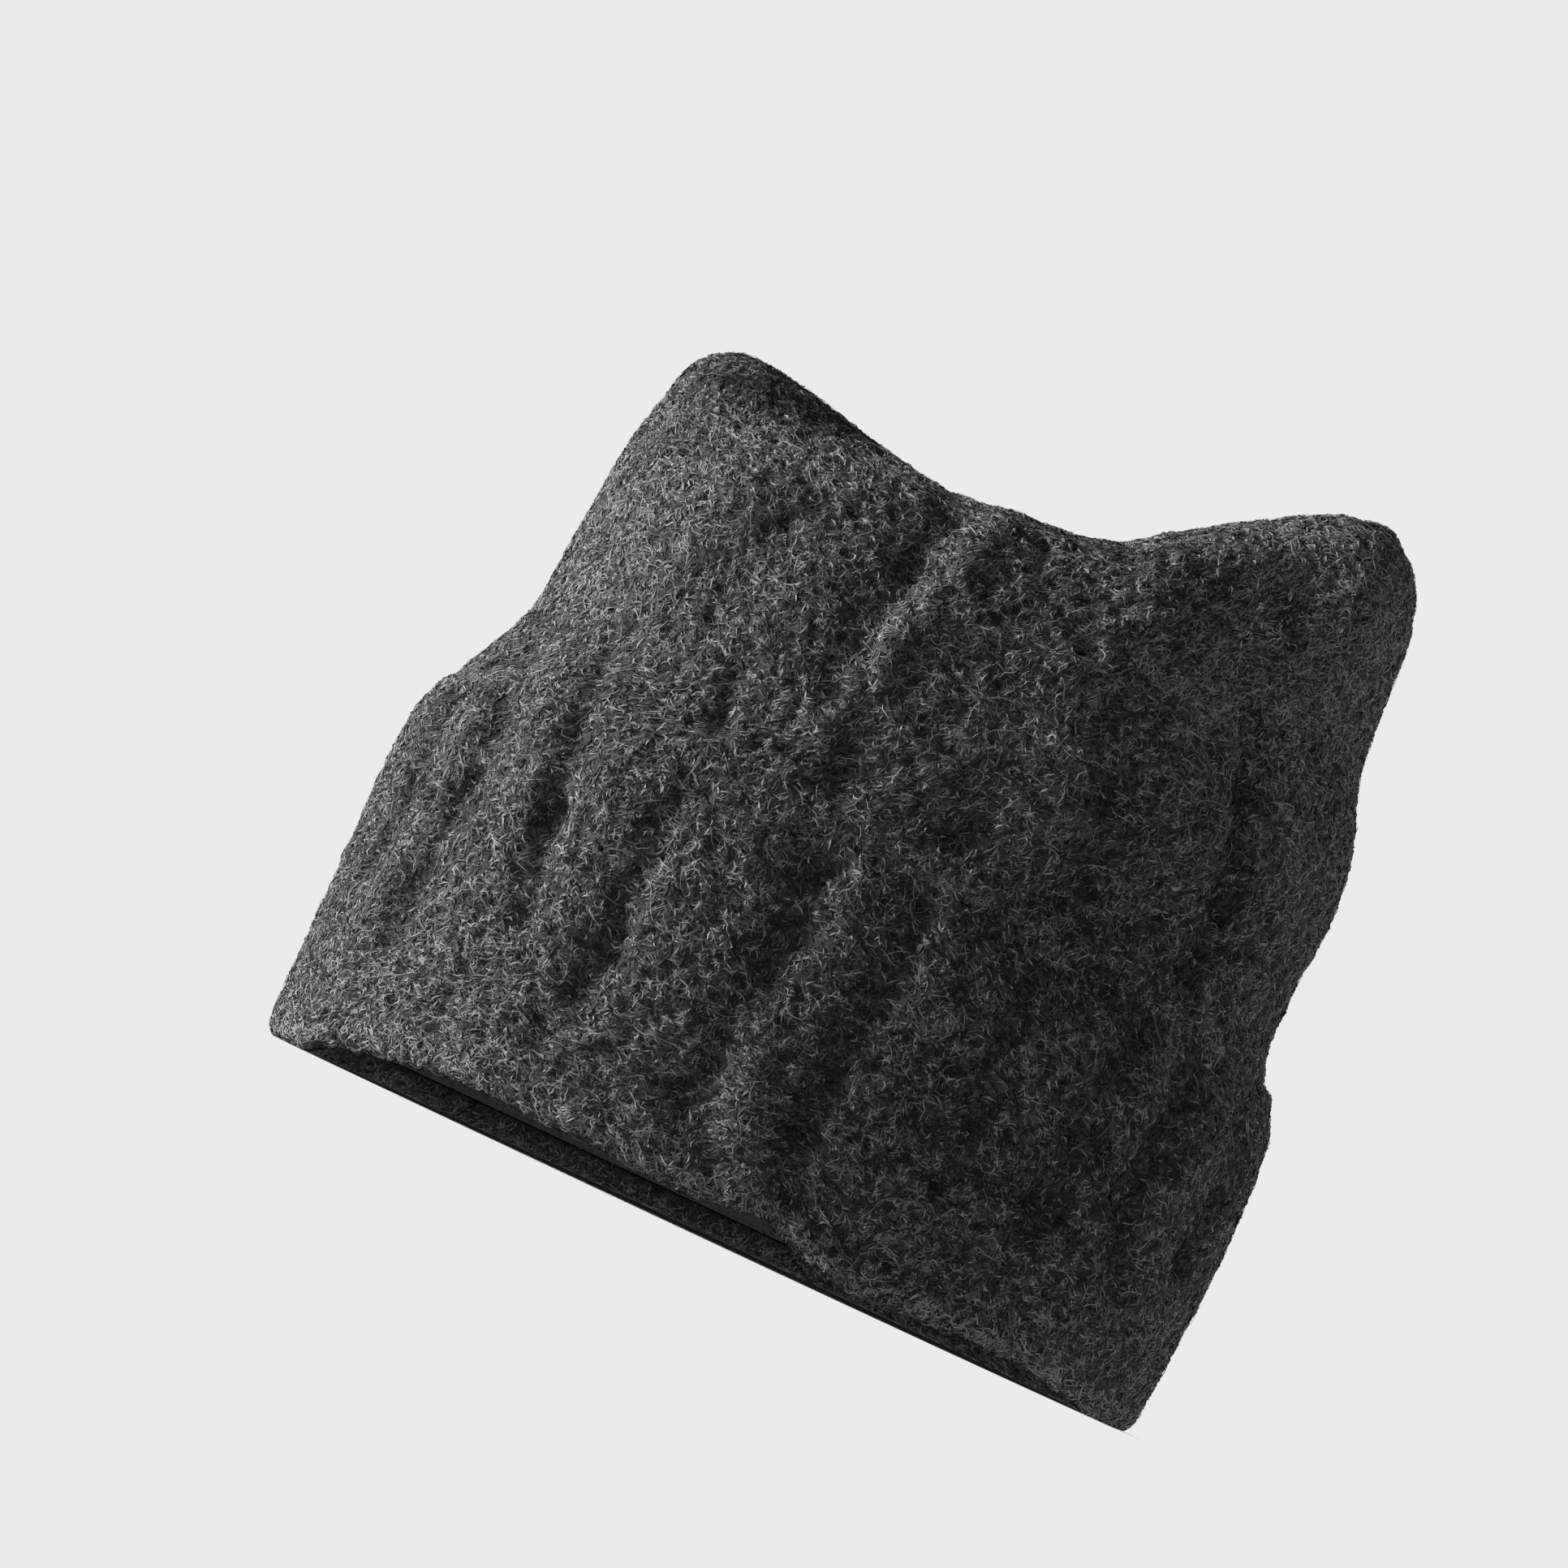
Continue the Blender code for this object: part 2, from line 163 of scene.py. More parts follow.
@dataclass(frozen=True)
class HatForm:
    """The shape of the knitted tube: two sides, a top seam, depths, leans and folds.

    Its powers and roots round the top off, at the middle and at the ears. A row of depths has a
    height and the half depths in front of and behind the seam. The cuff lies below its share of
    the way up, and its ring is measured at another.
    """

    fullness: float = 2.3
    seam_y: float = -5.1
    dome_power: float = 5.0
    dome_root: float = 2.0
    ear_power: float = 3.0
    ear_root: float = 1.3
    ear_falloff: int = 3
    top_reach: float = 3.0
    fold_fade: float = 0.5
    seam_inset: float = 1.7
    seam_felt: float = 0.4
    smooth_reach: float = 32.0
    ear_inset: float = 0.3
    cuff_share: float = 0.7
    cuff_steps: int = 140
    ring_share: float = 0.2
    ring_steps: int = 1440
    left_side: Points = (
        (-99.6, 5.8), (-100.2, 45), (-100.3, 76), (-98, 92), (-91.6, 108),
        (-89.8, 125), (-88.4, 144), (-85.8, 164), (-81.2, 178.4), (-74.5, 182.8),
    )
    right_side: Points = (
        (98.2, 5.8), (100.3, 45), (99, 72), (95.9, 88), (95.7, 103), (96.9, 121),
        (94.9, 136), (89.8, 151), (88, 168), (86.2, 187), (82, 197.5), (73.4, 205.4),
    )
    top_seam: Points = (
        (-74.5, 182.8), (-66, 182.6), (-52.5, 180), (-32.8, 174), (-20.1, 170.6),
        (-3.5, 172), (9.8, 173.3), (18.2, 175.6), (29.5, 183.6), (46, 194.6), (62.7, 203.4),
        (73.4, 205.4),
    )
    depths: tuple[tuple[float, float, float], ...] = (
        (0, 68.5, 79), (45, 69.9, 80.5), (80, 67.5, 77.5), (105, 64.5, 73.5),
        (130, 63, 72), (160, 61, 70), (210, 58, 66),
    )
    leans: tuple[Lean, ...] = records(Lean, (-1, 140, 181, 17), (1, 160, 205, -4))
    front_folds: Folds = (
        (-4, 170, -11, 153, 4, 1.6), (-11, 153, -17, 130, 4, 1.5),
        (-17, 130, -21, 104, 4, 1.3), (-15, 168, -19, 148, 5.5, -2.8),
        (-19, 148, -24, 118, 6, -2.2), (-88, 126, -60, 150, 12, 3.2),
        (-60, 150, -32, 166, 9, 3.8), (-46, 148, -56, 122, 6.5, -1.6),
        (59, 152, 66, 138, 3.2, -2.8), (66, 138, 71, 112, 3.4, -3.4),
        (71, 112, 69, 94, 3.6, -3), (48, 170, 58, 182, 12, -6), (79, 176, 75, 199, 9, 9),
        (-62, 179.5, -36, 174.5, 5, -4.2), (-82, 173, -74, 178, 9, 3.4),
        (20, 140, 34, 112, 10, 1.6),
    )
    back_folds: Folds = (
        (30, 165, 44, 118, 9, -3.2), (-40, 160, -30, 112, 10, -2.6),
        (-4, 158, 4, 108, 12, 1.8),
    )

    def lean(self, x: Array, z: Array) -> Array:
        """How far the ears tip backwards at places of the front view."""
        return sum(ear.at(x, z) for ear in self.leans)

    def roughness(self, points: Array) -> Array:
        """How much of the felted relief points take, which is less near the seam and the sides."""
        away = np.abs(points[..., 1] - (self.seam_y + self.lean(points[..., 0], points[..., 2])))
        return self.seam_felt + (1 - self.seam_felt) * ease(away / self.smooth_reach)

    def surface(self, angle: Array, t: Array, inset: Array | float = 0.0) -> Array:
        """The cloth's surface.

        Args:
            angle: Angles round the hat, 0 at +X and growing towards +Y.
            t: Shares of the way up to the seam.
            inset: How far inwards the surface lies, or outwards when negative.

        Returns:
            The points, with x, y and z along the last axis.
        """
        across = power(np.cos(angle), 2 / self.fullness)
        swell = power(np.sin(angle), 2 / self.fullness)
        share = (across + 1) / 2
        pull = inset * (1 + self.ear_inset * t**4)
        left_x, left_z = along(self.left_side, t)
        right_x, right_z = along(self.right_side, t)
        top_x, top_z = along(self.top_seam, share)
        (first_x, first_z), (last_x, last_z) = self.top_seam[0], self.top_seam[-1]
        bend = t**self.top_reach
        x = (1 - share) * (left_x + pull) + share * (right_x - pull)
        x = x + bend * (top_x - (1 - share) * first_x - share * last_x)
        z = (1 - share) * left_z + share * right_z
        z = z + bend * (top_z - (1 - share) * first_z - share * last_z)
        z = z - inset * self.seam_inset * t**2
        ear = np.abs(across) ** self.ear_falloff
        closing = (1 - t ** (self.dome_power + (self.ear_power - self.dome_power) * ear)) ** (
            1 / (self.dome_root + (self.ear_root - self.dome_root) * ear)
        )
        heights, fronts, backs = zip(*self.depths)
        depth = np.where(swell < 0, np.interp(z, heights, fronts), np.interp(z, heights, backs)) - inset
        y = self.seam_y + self.lean(x, z) + depth * swell * closing
        facing = np.abs(swell) * closing**self.fold_fade
        y = y - np.where(swell < 0, facing, 0.0) * fold_height(self.front_folds, x, z)
        y = y + np.where(swell > 0, facing, 0.0) * fold_height(self.back_folds, x, z)
        return np.stack(np.broadcast_arrays(x, y, z), axis=-1)

    def even_angles(self, count: int, inset: float) -> Array:
        """Angles whose points lie an equal way apart round the cuff.

        Args:
            count: How many.
            inset: How far inwards their ring lies.

        Returns:
            The angles.
        """
        angle = np.linspace(0.0, TURN, self.ring_steps + 1)
        ring = self.surface(angle, np.full_like(angle, self.ring_share), inset)
        reach = reaches(np.hypot(*np.diff(ring[:, :2], axis=0).T))
        return np.interp(np.arange(count) / count * reach[-1], reach, angle)

    def shares_at_heights(self, angle: Array, z: Array) -> Array:
        """The shares of the way up at which the surface reaches given heights.

        Args:
            angle: One angle for each row of z.
            z: Heights, a row for each angle.

        Returns:
            Shares in the shape of z.
        """
        shares = np.linspace(0.0, self.cuff_share, self.cuff_steps + 1)
        grid_t, grid_angle = np.meshgrid(shares, angle)
        heights = self.surface(grid_angle, grid_t)[..., 2]
        return np.array([np.interp(row, height, shares) for row, height in zip(z, heights)])


@dataclass(frozen=True)
class RandomField:
    """A smooth random field: many plane waves with directions and phases drawn from a seed.

    Wavelengths are millimetres and differ by up to the spread, a share of the middle one.
    """

    seed: int
    wavelength: float
    waves: int = 28
    spread: float = 0.35

    def at(self, points: Array) -> Array:
        """The field's values.

        Args:
            points: Places in millimetres.

        Returns:
            Values about -2 to 2.
        """
        rng = np.random.default_rng(self.seed)
        directions = unit(rng.normal(size=(self.waves, 3)))
        lengths = self.wavelength * (1 + self.spread * rng.uniform(-1, 1, self.waves))
        waves = directions * (TURN / lengths)[:, None]
        phases = rng.uniform(0, TURN, self.waves)
        total = sum(np.sin(points @ wave + phase) for wave, phase in zip(waves, phases))
        return total * math.sqrt(2 / self.waves)


@dataclass
class Skin:
    """A grid of surface points that fibres grow on, closed round its columns.

    Where seamed is true, the last row is a seam whose columns meet those of the other side.
    The hollow values run from 0 on the open surface to 1 in the deepest grooves and pits, where the
    nap is thinned and its fibres are darkened as painted shade.
    """

    points: Array
    seamed: bool
    hollow: Array | None = None
    least_step: float = 0.15
    normals: Array = field(init=False)
    steps: Array = field(init=False)

    def __post_init__(self) -> None:
        """Works out the normals and the size of a grid step."""
        before, after = self.points[:1], self.points[-1:]
        if self.seamed:
            after = self.points[-2:-1, -np.arange(self.points.shape[1])]
        tall = np.concatenate([before, self.points, after])
        up = tall[2:] - tall[:-2]
        around = np.roll(self.points, -1, axis=1) - np.roll(self.points, 1, axis=1)
        self.normals = unit(np.cross(around, up))
        steps = np.stack([np.linalg.norm(way, axis=-1) / 2 for way in (around, up)], axis=-1)
        self.steps = np.maximum(steps, self.least_step)
        if self.hollow is None:
            self.hollow = np.zeros(self.points.shape[:2])

    def displaced(self, height: Array, hollow: Array | None = None) -> "Skin":
        """The same skin moved along its normals, with both sides of a seam kept together.

        Args:
            height: How far each point moves.
            hollow: The moved skin's hollow values.

        Returns:
            The moved skin.
        """
        moved = self.points + self.normals * height[..., None]
        if self.seamed:
            mirror = moved[-1, -np.arange(moved.shape[1])]
            moved[-1] = (moved[-1] + mirror) / 2
        return Skin(moved, self.seamed, hollow)

    def sample(self, values: Array, column: Array, row: Array) -> Array:
        """Values between the grid's points.

        Args:
            values: A grid in this skin's shape.
            column: Places round the skin, in columns.
            row: Places up the skin, in rows.

        Returns:
            The values at those places.
        """
        rows, columns = self.points.shape[:2]
        top = rows - 1
        if self.seamed:
            over = row > top
            row = np.where(over, 2 * top - row, row)
            column = np.where(over, -column, column)
        row = np.clip(row, 0.0, top - 1e-6)
        low, left = np.floor(row).astype(int), np.floor(column).astype(int)
        up, across = (row - low)[..., None], (column - left)[..., None]
        left, right = left % columns, (left + 1) % columns
        below = values[low, left] * (1 - across) + values[low, right] * across
        above = values[low + 1, left] * (1 - across) + values[low + 1, right] * across
        return below * (1 - up) + above * up


def mesh_object(name: str, points: Array, faces: list[Array], uv: Array | None = None) -> Object:
    """An object from arrays.

    Args:
        name: The object's name.
        points: Vertices in millimetres.
        faces: Arrays of faces, each with a fixed number of corners.
        uv: Places on the bake map for every corner, in the order of the faces.

    Returns:
        The object, linked to the scene.
    """
    mesh = bpy.data.meshes.new(name)
    corners = np.concatenate([part.ravel() for part in faces]).astype(np.int32)
    totals = np.concatenate([np.full(len(part), part.shape[1]) for part in faces]).astype(np.int32)
    starts = np.concatenate([[0], np.cumsum(totals)[:-1]]).astype(np.int32)
    mesh.vertices.add(len(points))
    mesh.vertices.foreach_set("co", (points * MM).astype(np.float32).ravel())
    mesh.loops.add(len(corners))
    mesh.loops.foreach_set("vertex_index", corners)
    mesh.polygons.add(len(totals))
    mesh.polygons.foreach_set("loop_start", starts)
    mesh.polygons.foreach_set("use_smooth", np.ones(len(totals), dtype=bool))
    mesh.update(calc_edges=True)
    if uv is not None:
        layer = mesh.uv_layers.new(name=BAKE_MAP)
        layer.uv.foreach_set("vector", uv.astype(np.float32).ravel())
    mesh.validate()
    made = bpy.data.objects.new(name, mesh)
    bpy.context.scene.collection.objects.link(made)
    return made


def grid_object(name: str, points: Array, seamed: bool, uv_margin: float = 0.004) -> Object:
    """A closed object from a grid of points, with the grid as its bake map.

    Args:
        name: The object's name.
        points: Rows of points, each running once round the hat.
        seamed: Whether the first and last rows are seams that fold onto themselves. If not, the
            last row joins the first.
        uv_margin: How far the map keeps from its edges.

    Returns:
        The object.
    """
    rows, columns = points.shape[:2]
    numbers = np.arange(rows * columns).reshape(rows, columns)
    if seamed:
        column = np.arange(columns)
        folded = np.minimum(column, columns - column)
        numbers[0], numbers[-1] = numbers[0, folded], numbers[-1, folded]
        rings = numbers
    else:
        points = np.concatenate([points, points[:1]])
        rings = np.vstack([numbers, numbers[:1]])
    reach = reaches(np.linalg.norm(np.diff(points, axis=0), axis=-1).mean(axis=1))
    v = uv_margin + (1 - 2 * uv_margin) * reach / reach[-1]
    u = uv_margin + (1 - 2 * uv_margin) * np.arange(columns + 1) / columns
    left, lower = np.meshgrid(u[:-1], v[:-1])
    right, upper = np.meshgrid(u[1:], v[1:])
    uv = np.stack([left, lower, right, lower, right, upper, left, upper], axis=-1)
    ahead = np.roll(rings, -1, axis=1)
    faces = np.stack([rings[:-1], ahead[:-1], ahead[1:], rings[1:]], axis=-1).reshape(-1, 4)
    used, faces = np.unique(faces, return_inverse=True)
    flat = points[:rows].reshape(-1, 3)[used]
    return mesh_object(name, flat, [faces.reshape(-1, 4)], uv.reshape(-1, 2))


@dataclass(frozen=True)
class Arch:
    """How the soft front rim arches off the floor, with all the layers that end there."""

    height: float = 7.0
    tilt: float = 0.042
    half_width: float = 94.0
    roundness: float = 0.7
    front_y: float = -45.0
    reach: float = 45.0
    wave: float = 0.8
    wave_length: float = 38.0
    wave_seed: int = 35
    notch_x: float = 8.0
    notch_width: float = 6.0
    notch_height: float = 1.2

    def raised(self, skin: Skin) -> Skin:
        """Lifts the front rim of a skin.

        Args:
            skin: The skin, which is changed.

        Returns:
            The same skin.
        """
        x, y, z = (skin.points[..., axis] for axis in range(3))
        across = np.clip(1 - (x / self.half_width) ** 4, 0.0, 1.0)
        wave = RandomField(self.wave_seed, self.wave_length).at(skin.points * (1.0, 0.0, 0.0))
        notch = self.notch_height * bell((x - self.notch_x) / self.notch_width)
        rise = (self.height - self.tilt * x) * across**self.roundness + self.wave * wave * across + notch
        skin.points[..., 2] += rise * ease(y / self.front_y) * ease(1 - z / self.reach)
        return skin


class Side(Enum):
    """Which way a shell's skin faces."""

    OUTER = 0
    INNER = 1


@dataclass
class SeamedShell:
    """A knitted or sewn bag, open below and closed by the seam on top."""

    form: HatForm
    columns: int
    outer_rows: Array
    inner_rows: Array
    inset: float
    wall: float

    def skin(self, side: Side) -> Skin:
        """The plain skin of one side.

        Args:
            side: The side.

        Returns:
            The skin, with its seam as the last row.
        """
        rows = self.outer_rows if side is Side.OUTER else self.inner_rows
        inset = self.inset + (self.wall if side is Side.INNER else 0.0)
        angle = np.arange(self.columns) * TURN / self.columns
        grid_angle, grid_t = np.meshgrid(angle, np.append(rows, 1.0))
        return Skin(self.form.surface(grid_angle, grid_t, inset), True)

    def build(self, name: str, outer: Skin, inner: Skin) -> Object:
        """Joins the skin that faces out and the one that faces the hollow into one closed object."""
        return grid_object(name, np.concatenate([inner.points[::-1], outer.points]), True)


@dataclass
class Wiring:
    """Short ways to add and link nodes in a tree."""

    tree: NodeTree

    def feed(self, node: Node, inputs: Inputs) -> Node:
        """Links a node's inputs to sockets, or sets them where a plain value is given.

        Args:
            node: The node.
            inputs: Sockets and values by the name or number of the input.

        Returns:
            The node.
        """
        for label, value in inputs.items():
            if isinstance(value, NodeSocket):
                self.tree.links.new(value, node.inputs[label])
            else:
                node.inputs[label].default_value = value
        return node

    def add(self, kind: str, inputs: Inputs | None = None, **settings: object) -> Node:
        """Adds a shader node.

        Args:
            kind: The node's type, without the ShaderNode that it starts with.
            inputs: Sockets and values by the name or number of the input.
            settings: The node's properties.

        Returns:
            The node.
        """
        node = self.tree.nodes.new("ShaderNode" + kind)
        for label, value in settings.items():
            setattr(node, label, value)
        return self.feed(node, inputs or {})

    def math(self, operation: str, *values: object) -> NodeSocket:
        """A Math node over sockets and numbers, and its output."""
        return self.add("Math", dict(enumerate(values)), operation=operation).outputs[0]

    def vector(self, operation: str, *values: object) -> NodeSocket:
        """A Vector Math node over sockets and vectors, and its output."""
        return self.add("VectorMath", dict(enumerate(values)), operation=operation).outputs[0]

    def mix(self, factor: object, low: object, high: object, blend: str = "MIX") -> NodeSocket:
        """A mix of two colours, and its output."""
        inputs = {"Factor": factor, "A": low, "B": high}
        return self.add("Mix", inputs, data_type="RGBA", blend_type=blend).outputs["Result"]

    def range(self, value: NodeSocket, low: float, high: float) -> NodeSocket:
        """A smooth step of a value between two levels."""
        inputs = {"Value": value, "From Min": low, "From Max": high}
        return self.add("MapRange", inputs, interpolation_type="SMOOTHSTEP").outputs["Result"]

    def noise(self, vector: NodeSocket, scale: object, detail: float) -> Node:
        """A noise texture at a scale, which is a number or a socket."""
        return self.add("TexNoise", {"Vector": vector, "Scale": scale, "Detail": detail})


def cloth_group() -> NodeTree:
    """Curly light strands on a ground with soft patches of lighter and darker yarn.

    The strands are thin bands where three warped noises pass their middle.

    Returns:
        The node group.
    """
    tree = bpy.data.node_groups.new("cloth_ground", "ShaderNodeTree")
    new_socket = tree.interface.new_socket
    new_socket("Vector", in_out="INPUT", socket_type="NodeSocketVector")
    defaults = {"Scale": 300.0, "Width": 0.05, "Warp": 0.004, "Patch Scale": 60.0, "Contrast": 0.5}
    for label, value in defaults.items():
        new_socket(label, in_out="INPUT", socket_type="NodeSocketFloat").default_value = value
    for label in ("Strands", "Relief", "Patch"):
        new_socket(label, in_out="OUTPUT", socket_type="NodeSocketFloat")
    source = tree.nodes.new("NodeGroupInput").outputs
    wire = Wiring(tree)
    bend = wire.noise(source["Vector"], wire.math("MULTIPLY", source["Scale"], 0.8), 2.0)
    centred = wire.vector("SUBTRACT", bend.outputs["Color"], (0.5, 0.5, 0.5))
    warp = wire.add("VectorMath", {0: centred, "Scale": source["Warp"]}, operation="SCALE").outputs[0]
    bands = []
    for offset in (0.0, 7.3, 15.1):
        shifted = wire.vector("ADD", source["Vector"], (offset, offset, offset))
        noise = wire.noise(wire.vector("ADD", shifted, warp), source["Scale"], 1.0)
        off = wire.math("ABSOLUTE", wire.math("SUBTRACT", noise.outputs[0], 0.5))
        narrow = wire.math("MINIMUM", wire.math("DIVIDE", off, source["Width"]), 1.0)
        bands.append(wire.math("SUBTRACT", 1.0, narrow))
    strands = wire.math("MAXIMUM", bands[0], wire.math("MAXIMUM", bands[1], bands[2]))
    relief = wire.math("SMOOTH_MIN", strands, 0.8, 0.3)
    patches = wire.noise(source["Vector"], source["Patch Scale"], 3.0).outputs[0]
    patch = wire.math("MULTIPLY_ADD", wire.math("SUBTRACT", patches, 0.5), source["Contrast"], 0.5)
    wire.feed(tree.nodes.new("NodeGroupOutput"), {"Strands": strands, "Relief": relief, "Patch": patch})
    return tree


def grey(value: float, tint: tuple[float, float, float] = (0.99, 1.0, 1.02)) -> Colour:
    """A near-neutral grey with a faint cool tint."""
    return (value * tint[0], value * tint[1], value * tint[2], 1.0)


def new_material(name: str) -> tuple[Material, Wiring, Node]:
    """A material to wire up.

    Args:
        name: Its name.

    Returns:
        The material, its wiring and its shader.
    """
    made = bpy.data.materials.new(name)
    made.use_nodes = True
    return made, Wiring(made.node_tree), made.node_tree.nodes["Principled BSDF"]


@dataclass(frozen=True)
class ClothFinish:
    """A cloth ground under its nap: colours, strand pattern, relief and sheen, those of the knit."""

    dark: float = 0.003
    light: float = 0.009
    strand: float = 0.06
    strand_scale: float = 520.0
    strand_width: float = 0.1
    patch_scale: float = 55.0
    patch_contrast: float = 1.6
    bump_mm: float = 0.35
    fine_scale: float = 2.5
    fine_relief: float = 0.4
    roughness: float = 0.92
    specular: float = 0.2
    sheen: float = 0.1
    sheen_roughness: float = 0.5

    def material(self, name: str, group: NodeTree) -> Material:
        """Builds a material.

        Args:
            name: Its name.
            group: The cloth ground's node group.

        Returns:
            The material.
        """
        made, wire, shader = new_material(name)
        place = wire.add("TexCoord").outputs["Object"]
        inputs = {"Vector": place, "Scale": self.strand_scale, "Width": self.strand_width}
        inputs |= {"Patch Scale": self.patch_scale, "Contrast": self.patch_contrast}
        cloth = wire.add("Group", inputs, node_tree=group).outputs
        ground = wire.mix(cloth["Patch"], grey(self.dark), grey(self.light))
        fine = wire.noise(place, self.strand_scale * self.fine_scale, 2.0).outputs[0]
        height = wire.math("MULTIPLY_ADD", fine, self.fine_relief, cloth["Relief"])
        bump = wire.add("Bump", {"Distance": self.bump_mm * MM, "Height": height})
        wire.feed(shader, {
            "Base Color": wire.mix(cloth["Strands"], ground, grey(self.strand)),
            "Normal": bump.outputs["Normal"],
            "Roughness": wire.math("MULTIPLY_ADD", cloth["Patch"], 0.1, self.roughness - 0.05),
            "Specular IOR Level": self.specular,
            "Sheen Weight": self.sheen,
            "Sheen Roughness": self.sheen_roughness,
        })
        return made


FLEECE = ClothFinish(
    dark=0.03, light=0.05, strand=0.075, strand_scale=420.0, strand_width=0.09, patch_scale=90.0,
    bump_mm=0.08, roughness=0.9, sheen=0.05,
)


@dataclass(frozen=True)
class FibreFinish:
    """Wool fibres whose grey follows the map's width, with painted shade towards the root along its
    height.
    """

    darkest: float = 0.003
    middle: float = 0.096
    lightest: float = 0.195
    # Painted shade: the factor that darkens each fibre towards its root.
    painted_root_shade: float = 0.5
    root_reach: float = 0.4
    roughness: float = 0.75
    specular: float = 0.25

    def material(self, name: str) -> Material:
        """Builds a material.

        Args:
            name: Its name.

        Returns:
            The material.
        """
        made, wire, shader = new_material(name)
        place = wire.add("UVMap", uv_map=BAKE_MAP).outputs["UV"]
        split = wire.add("SeparateXYZ", {0: place}).outputs
        ramp = wire.add("ValToRGB", {0: split["X"]})
        shades = ramp.color_ramp.elements
        shades[0].color, shades[1].color = grey(self.darkest), grey(self.lightest)
        shades.new(0.5).color = grey(self.middle)
        # Painted shade: the colour darkens towards each fibre's root.
        rooted = wire.math("SUBTRACT", 1.0, wire.range(split["Y"], 0.0, self.root_reach))
        root = grey(self.painted_root_shade, (1.0, 1.0, 1.0))
        colour = wire.mix(rooted, ramp.outputs["Color"], root, "MULTIPLY")
        inputs = {"Roughness": self.roughness, "Specular IOR Level": self.specular}
        wire.feed(shader, {"Base Color": colour, **inputs})
        return made


@dataclass(frozen=True)
class Patch:
    """A soft oval in the front whose wool is painted lighter, as painted light, or darker, as painted
    shade, where its shade is negative.
    """

    x: float
    z: float
    width: float
    height: float
    shade: float

    def at(self, points: Array) -> Array:
        """How much the patch adds to the shade of fibres at points."""
        across, up = (points[..., 0] - self.x) / self.width, (points[..., 2] - self.z) / self.height
        return self.shade * np.exp(-(across**2) - up**2) * (points[..., 1] < 0)


# Painted light and painted shade: ovals that lighten the wool where it should catch the key light, as at
# the right ear's tip, and darken it where it turns away, as along the left ear's top.
PAINTED_LIGHT_PATCHES = records(
    Patch, (-60, 161, 26, 8, 0.15), (-34, 160, 8, 12, 0.15), (-27, 171, 10, 7, 0.8),
    (-31, 132, 8, 10, -0.08), (-62, 130, 8, 12, -0.08), (-52, 177, 22, 7, -0.75),
    (-73, 179, 12, 9, -0.5), (8, 165, 14, 7, 0.13), (56, 156, 26, 26, 0.36),
    (52, 108, 26, 12, -0.07), (46, 40, 50, 36, -0.16), (0, 138, 18, 22, -0.05),
    (68, 190, 18, 15, 0.5), (-82, 120, 12, 34, 0.07), (48, 176, 12, 7, -0.12),
    (18, 120, 5, 5, 0.15), (86, 120, 12, 40, 0.05),
)


@dataclass(frozen=True)
class Fibre:
    """A kind of fibre, with lengths in millimetres.

    Shades run from 0, the darkest wool, to 1, the lightest.
    """

    segments: int
    shortest: float
    longest: float
    width: float
    curl: float
    lift: float
    shade: float
    spread: float


SHORT = Fibre(2, 1.8, 4.6, width=0.44, curl=0.35, lift=0.6, shade=0.43, spread=0.36)
CURLED = Fibre(5, 4.0, 9.5, width=0.22, curl=0.22, lift=0.7, shade=0.37, spread=0.2)
STRAY = Fibre(11, 8.0, 18.0, width=0.16, curl=0.2, lift=1.0, shade=0.6, spread=0.1)
# Painted highlight: light fibres along the rolled rim stand in for the light its lip catches; the fibres
# themselves are real nap.
PAINTED_RIM_HIGHLIGHT = Fibre(4, 2.0, 4.5, width=0.3, curl=0.5, lift=0.8, shade=0.9, spread=0.1)


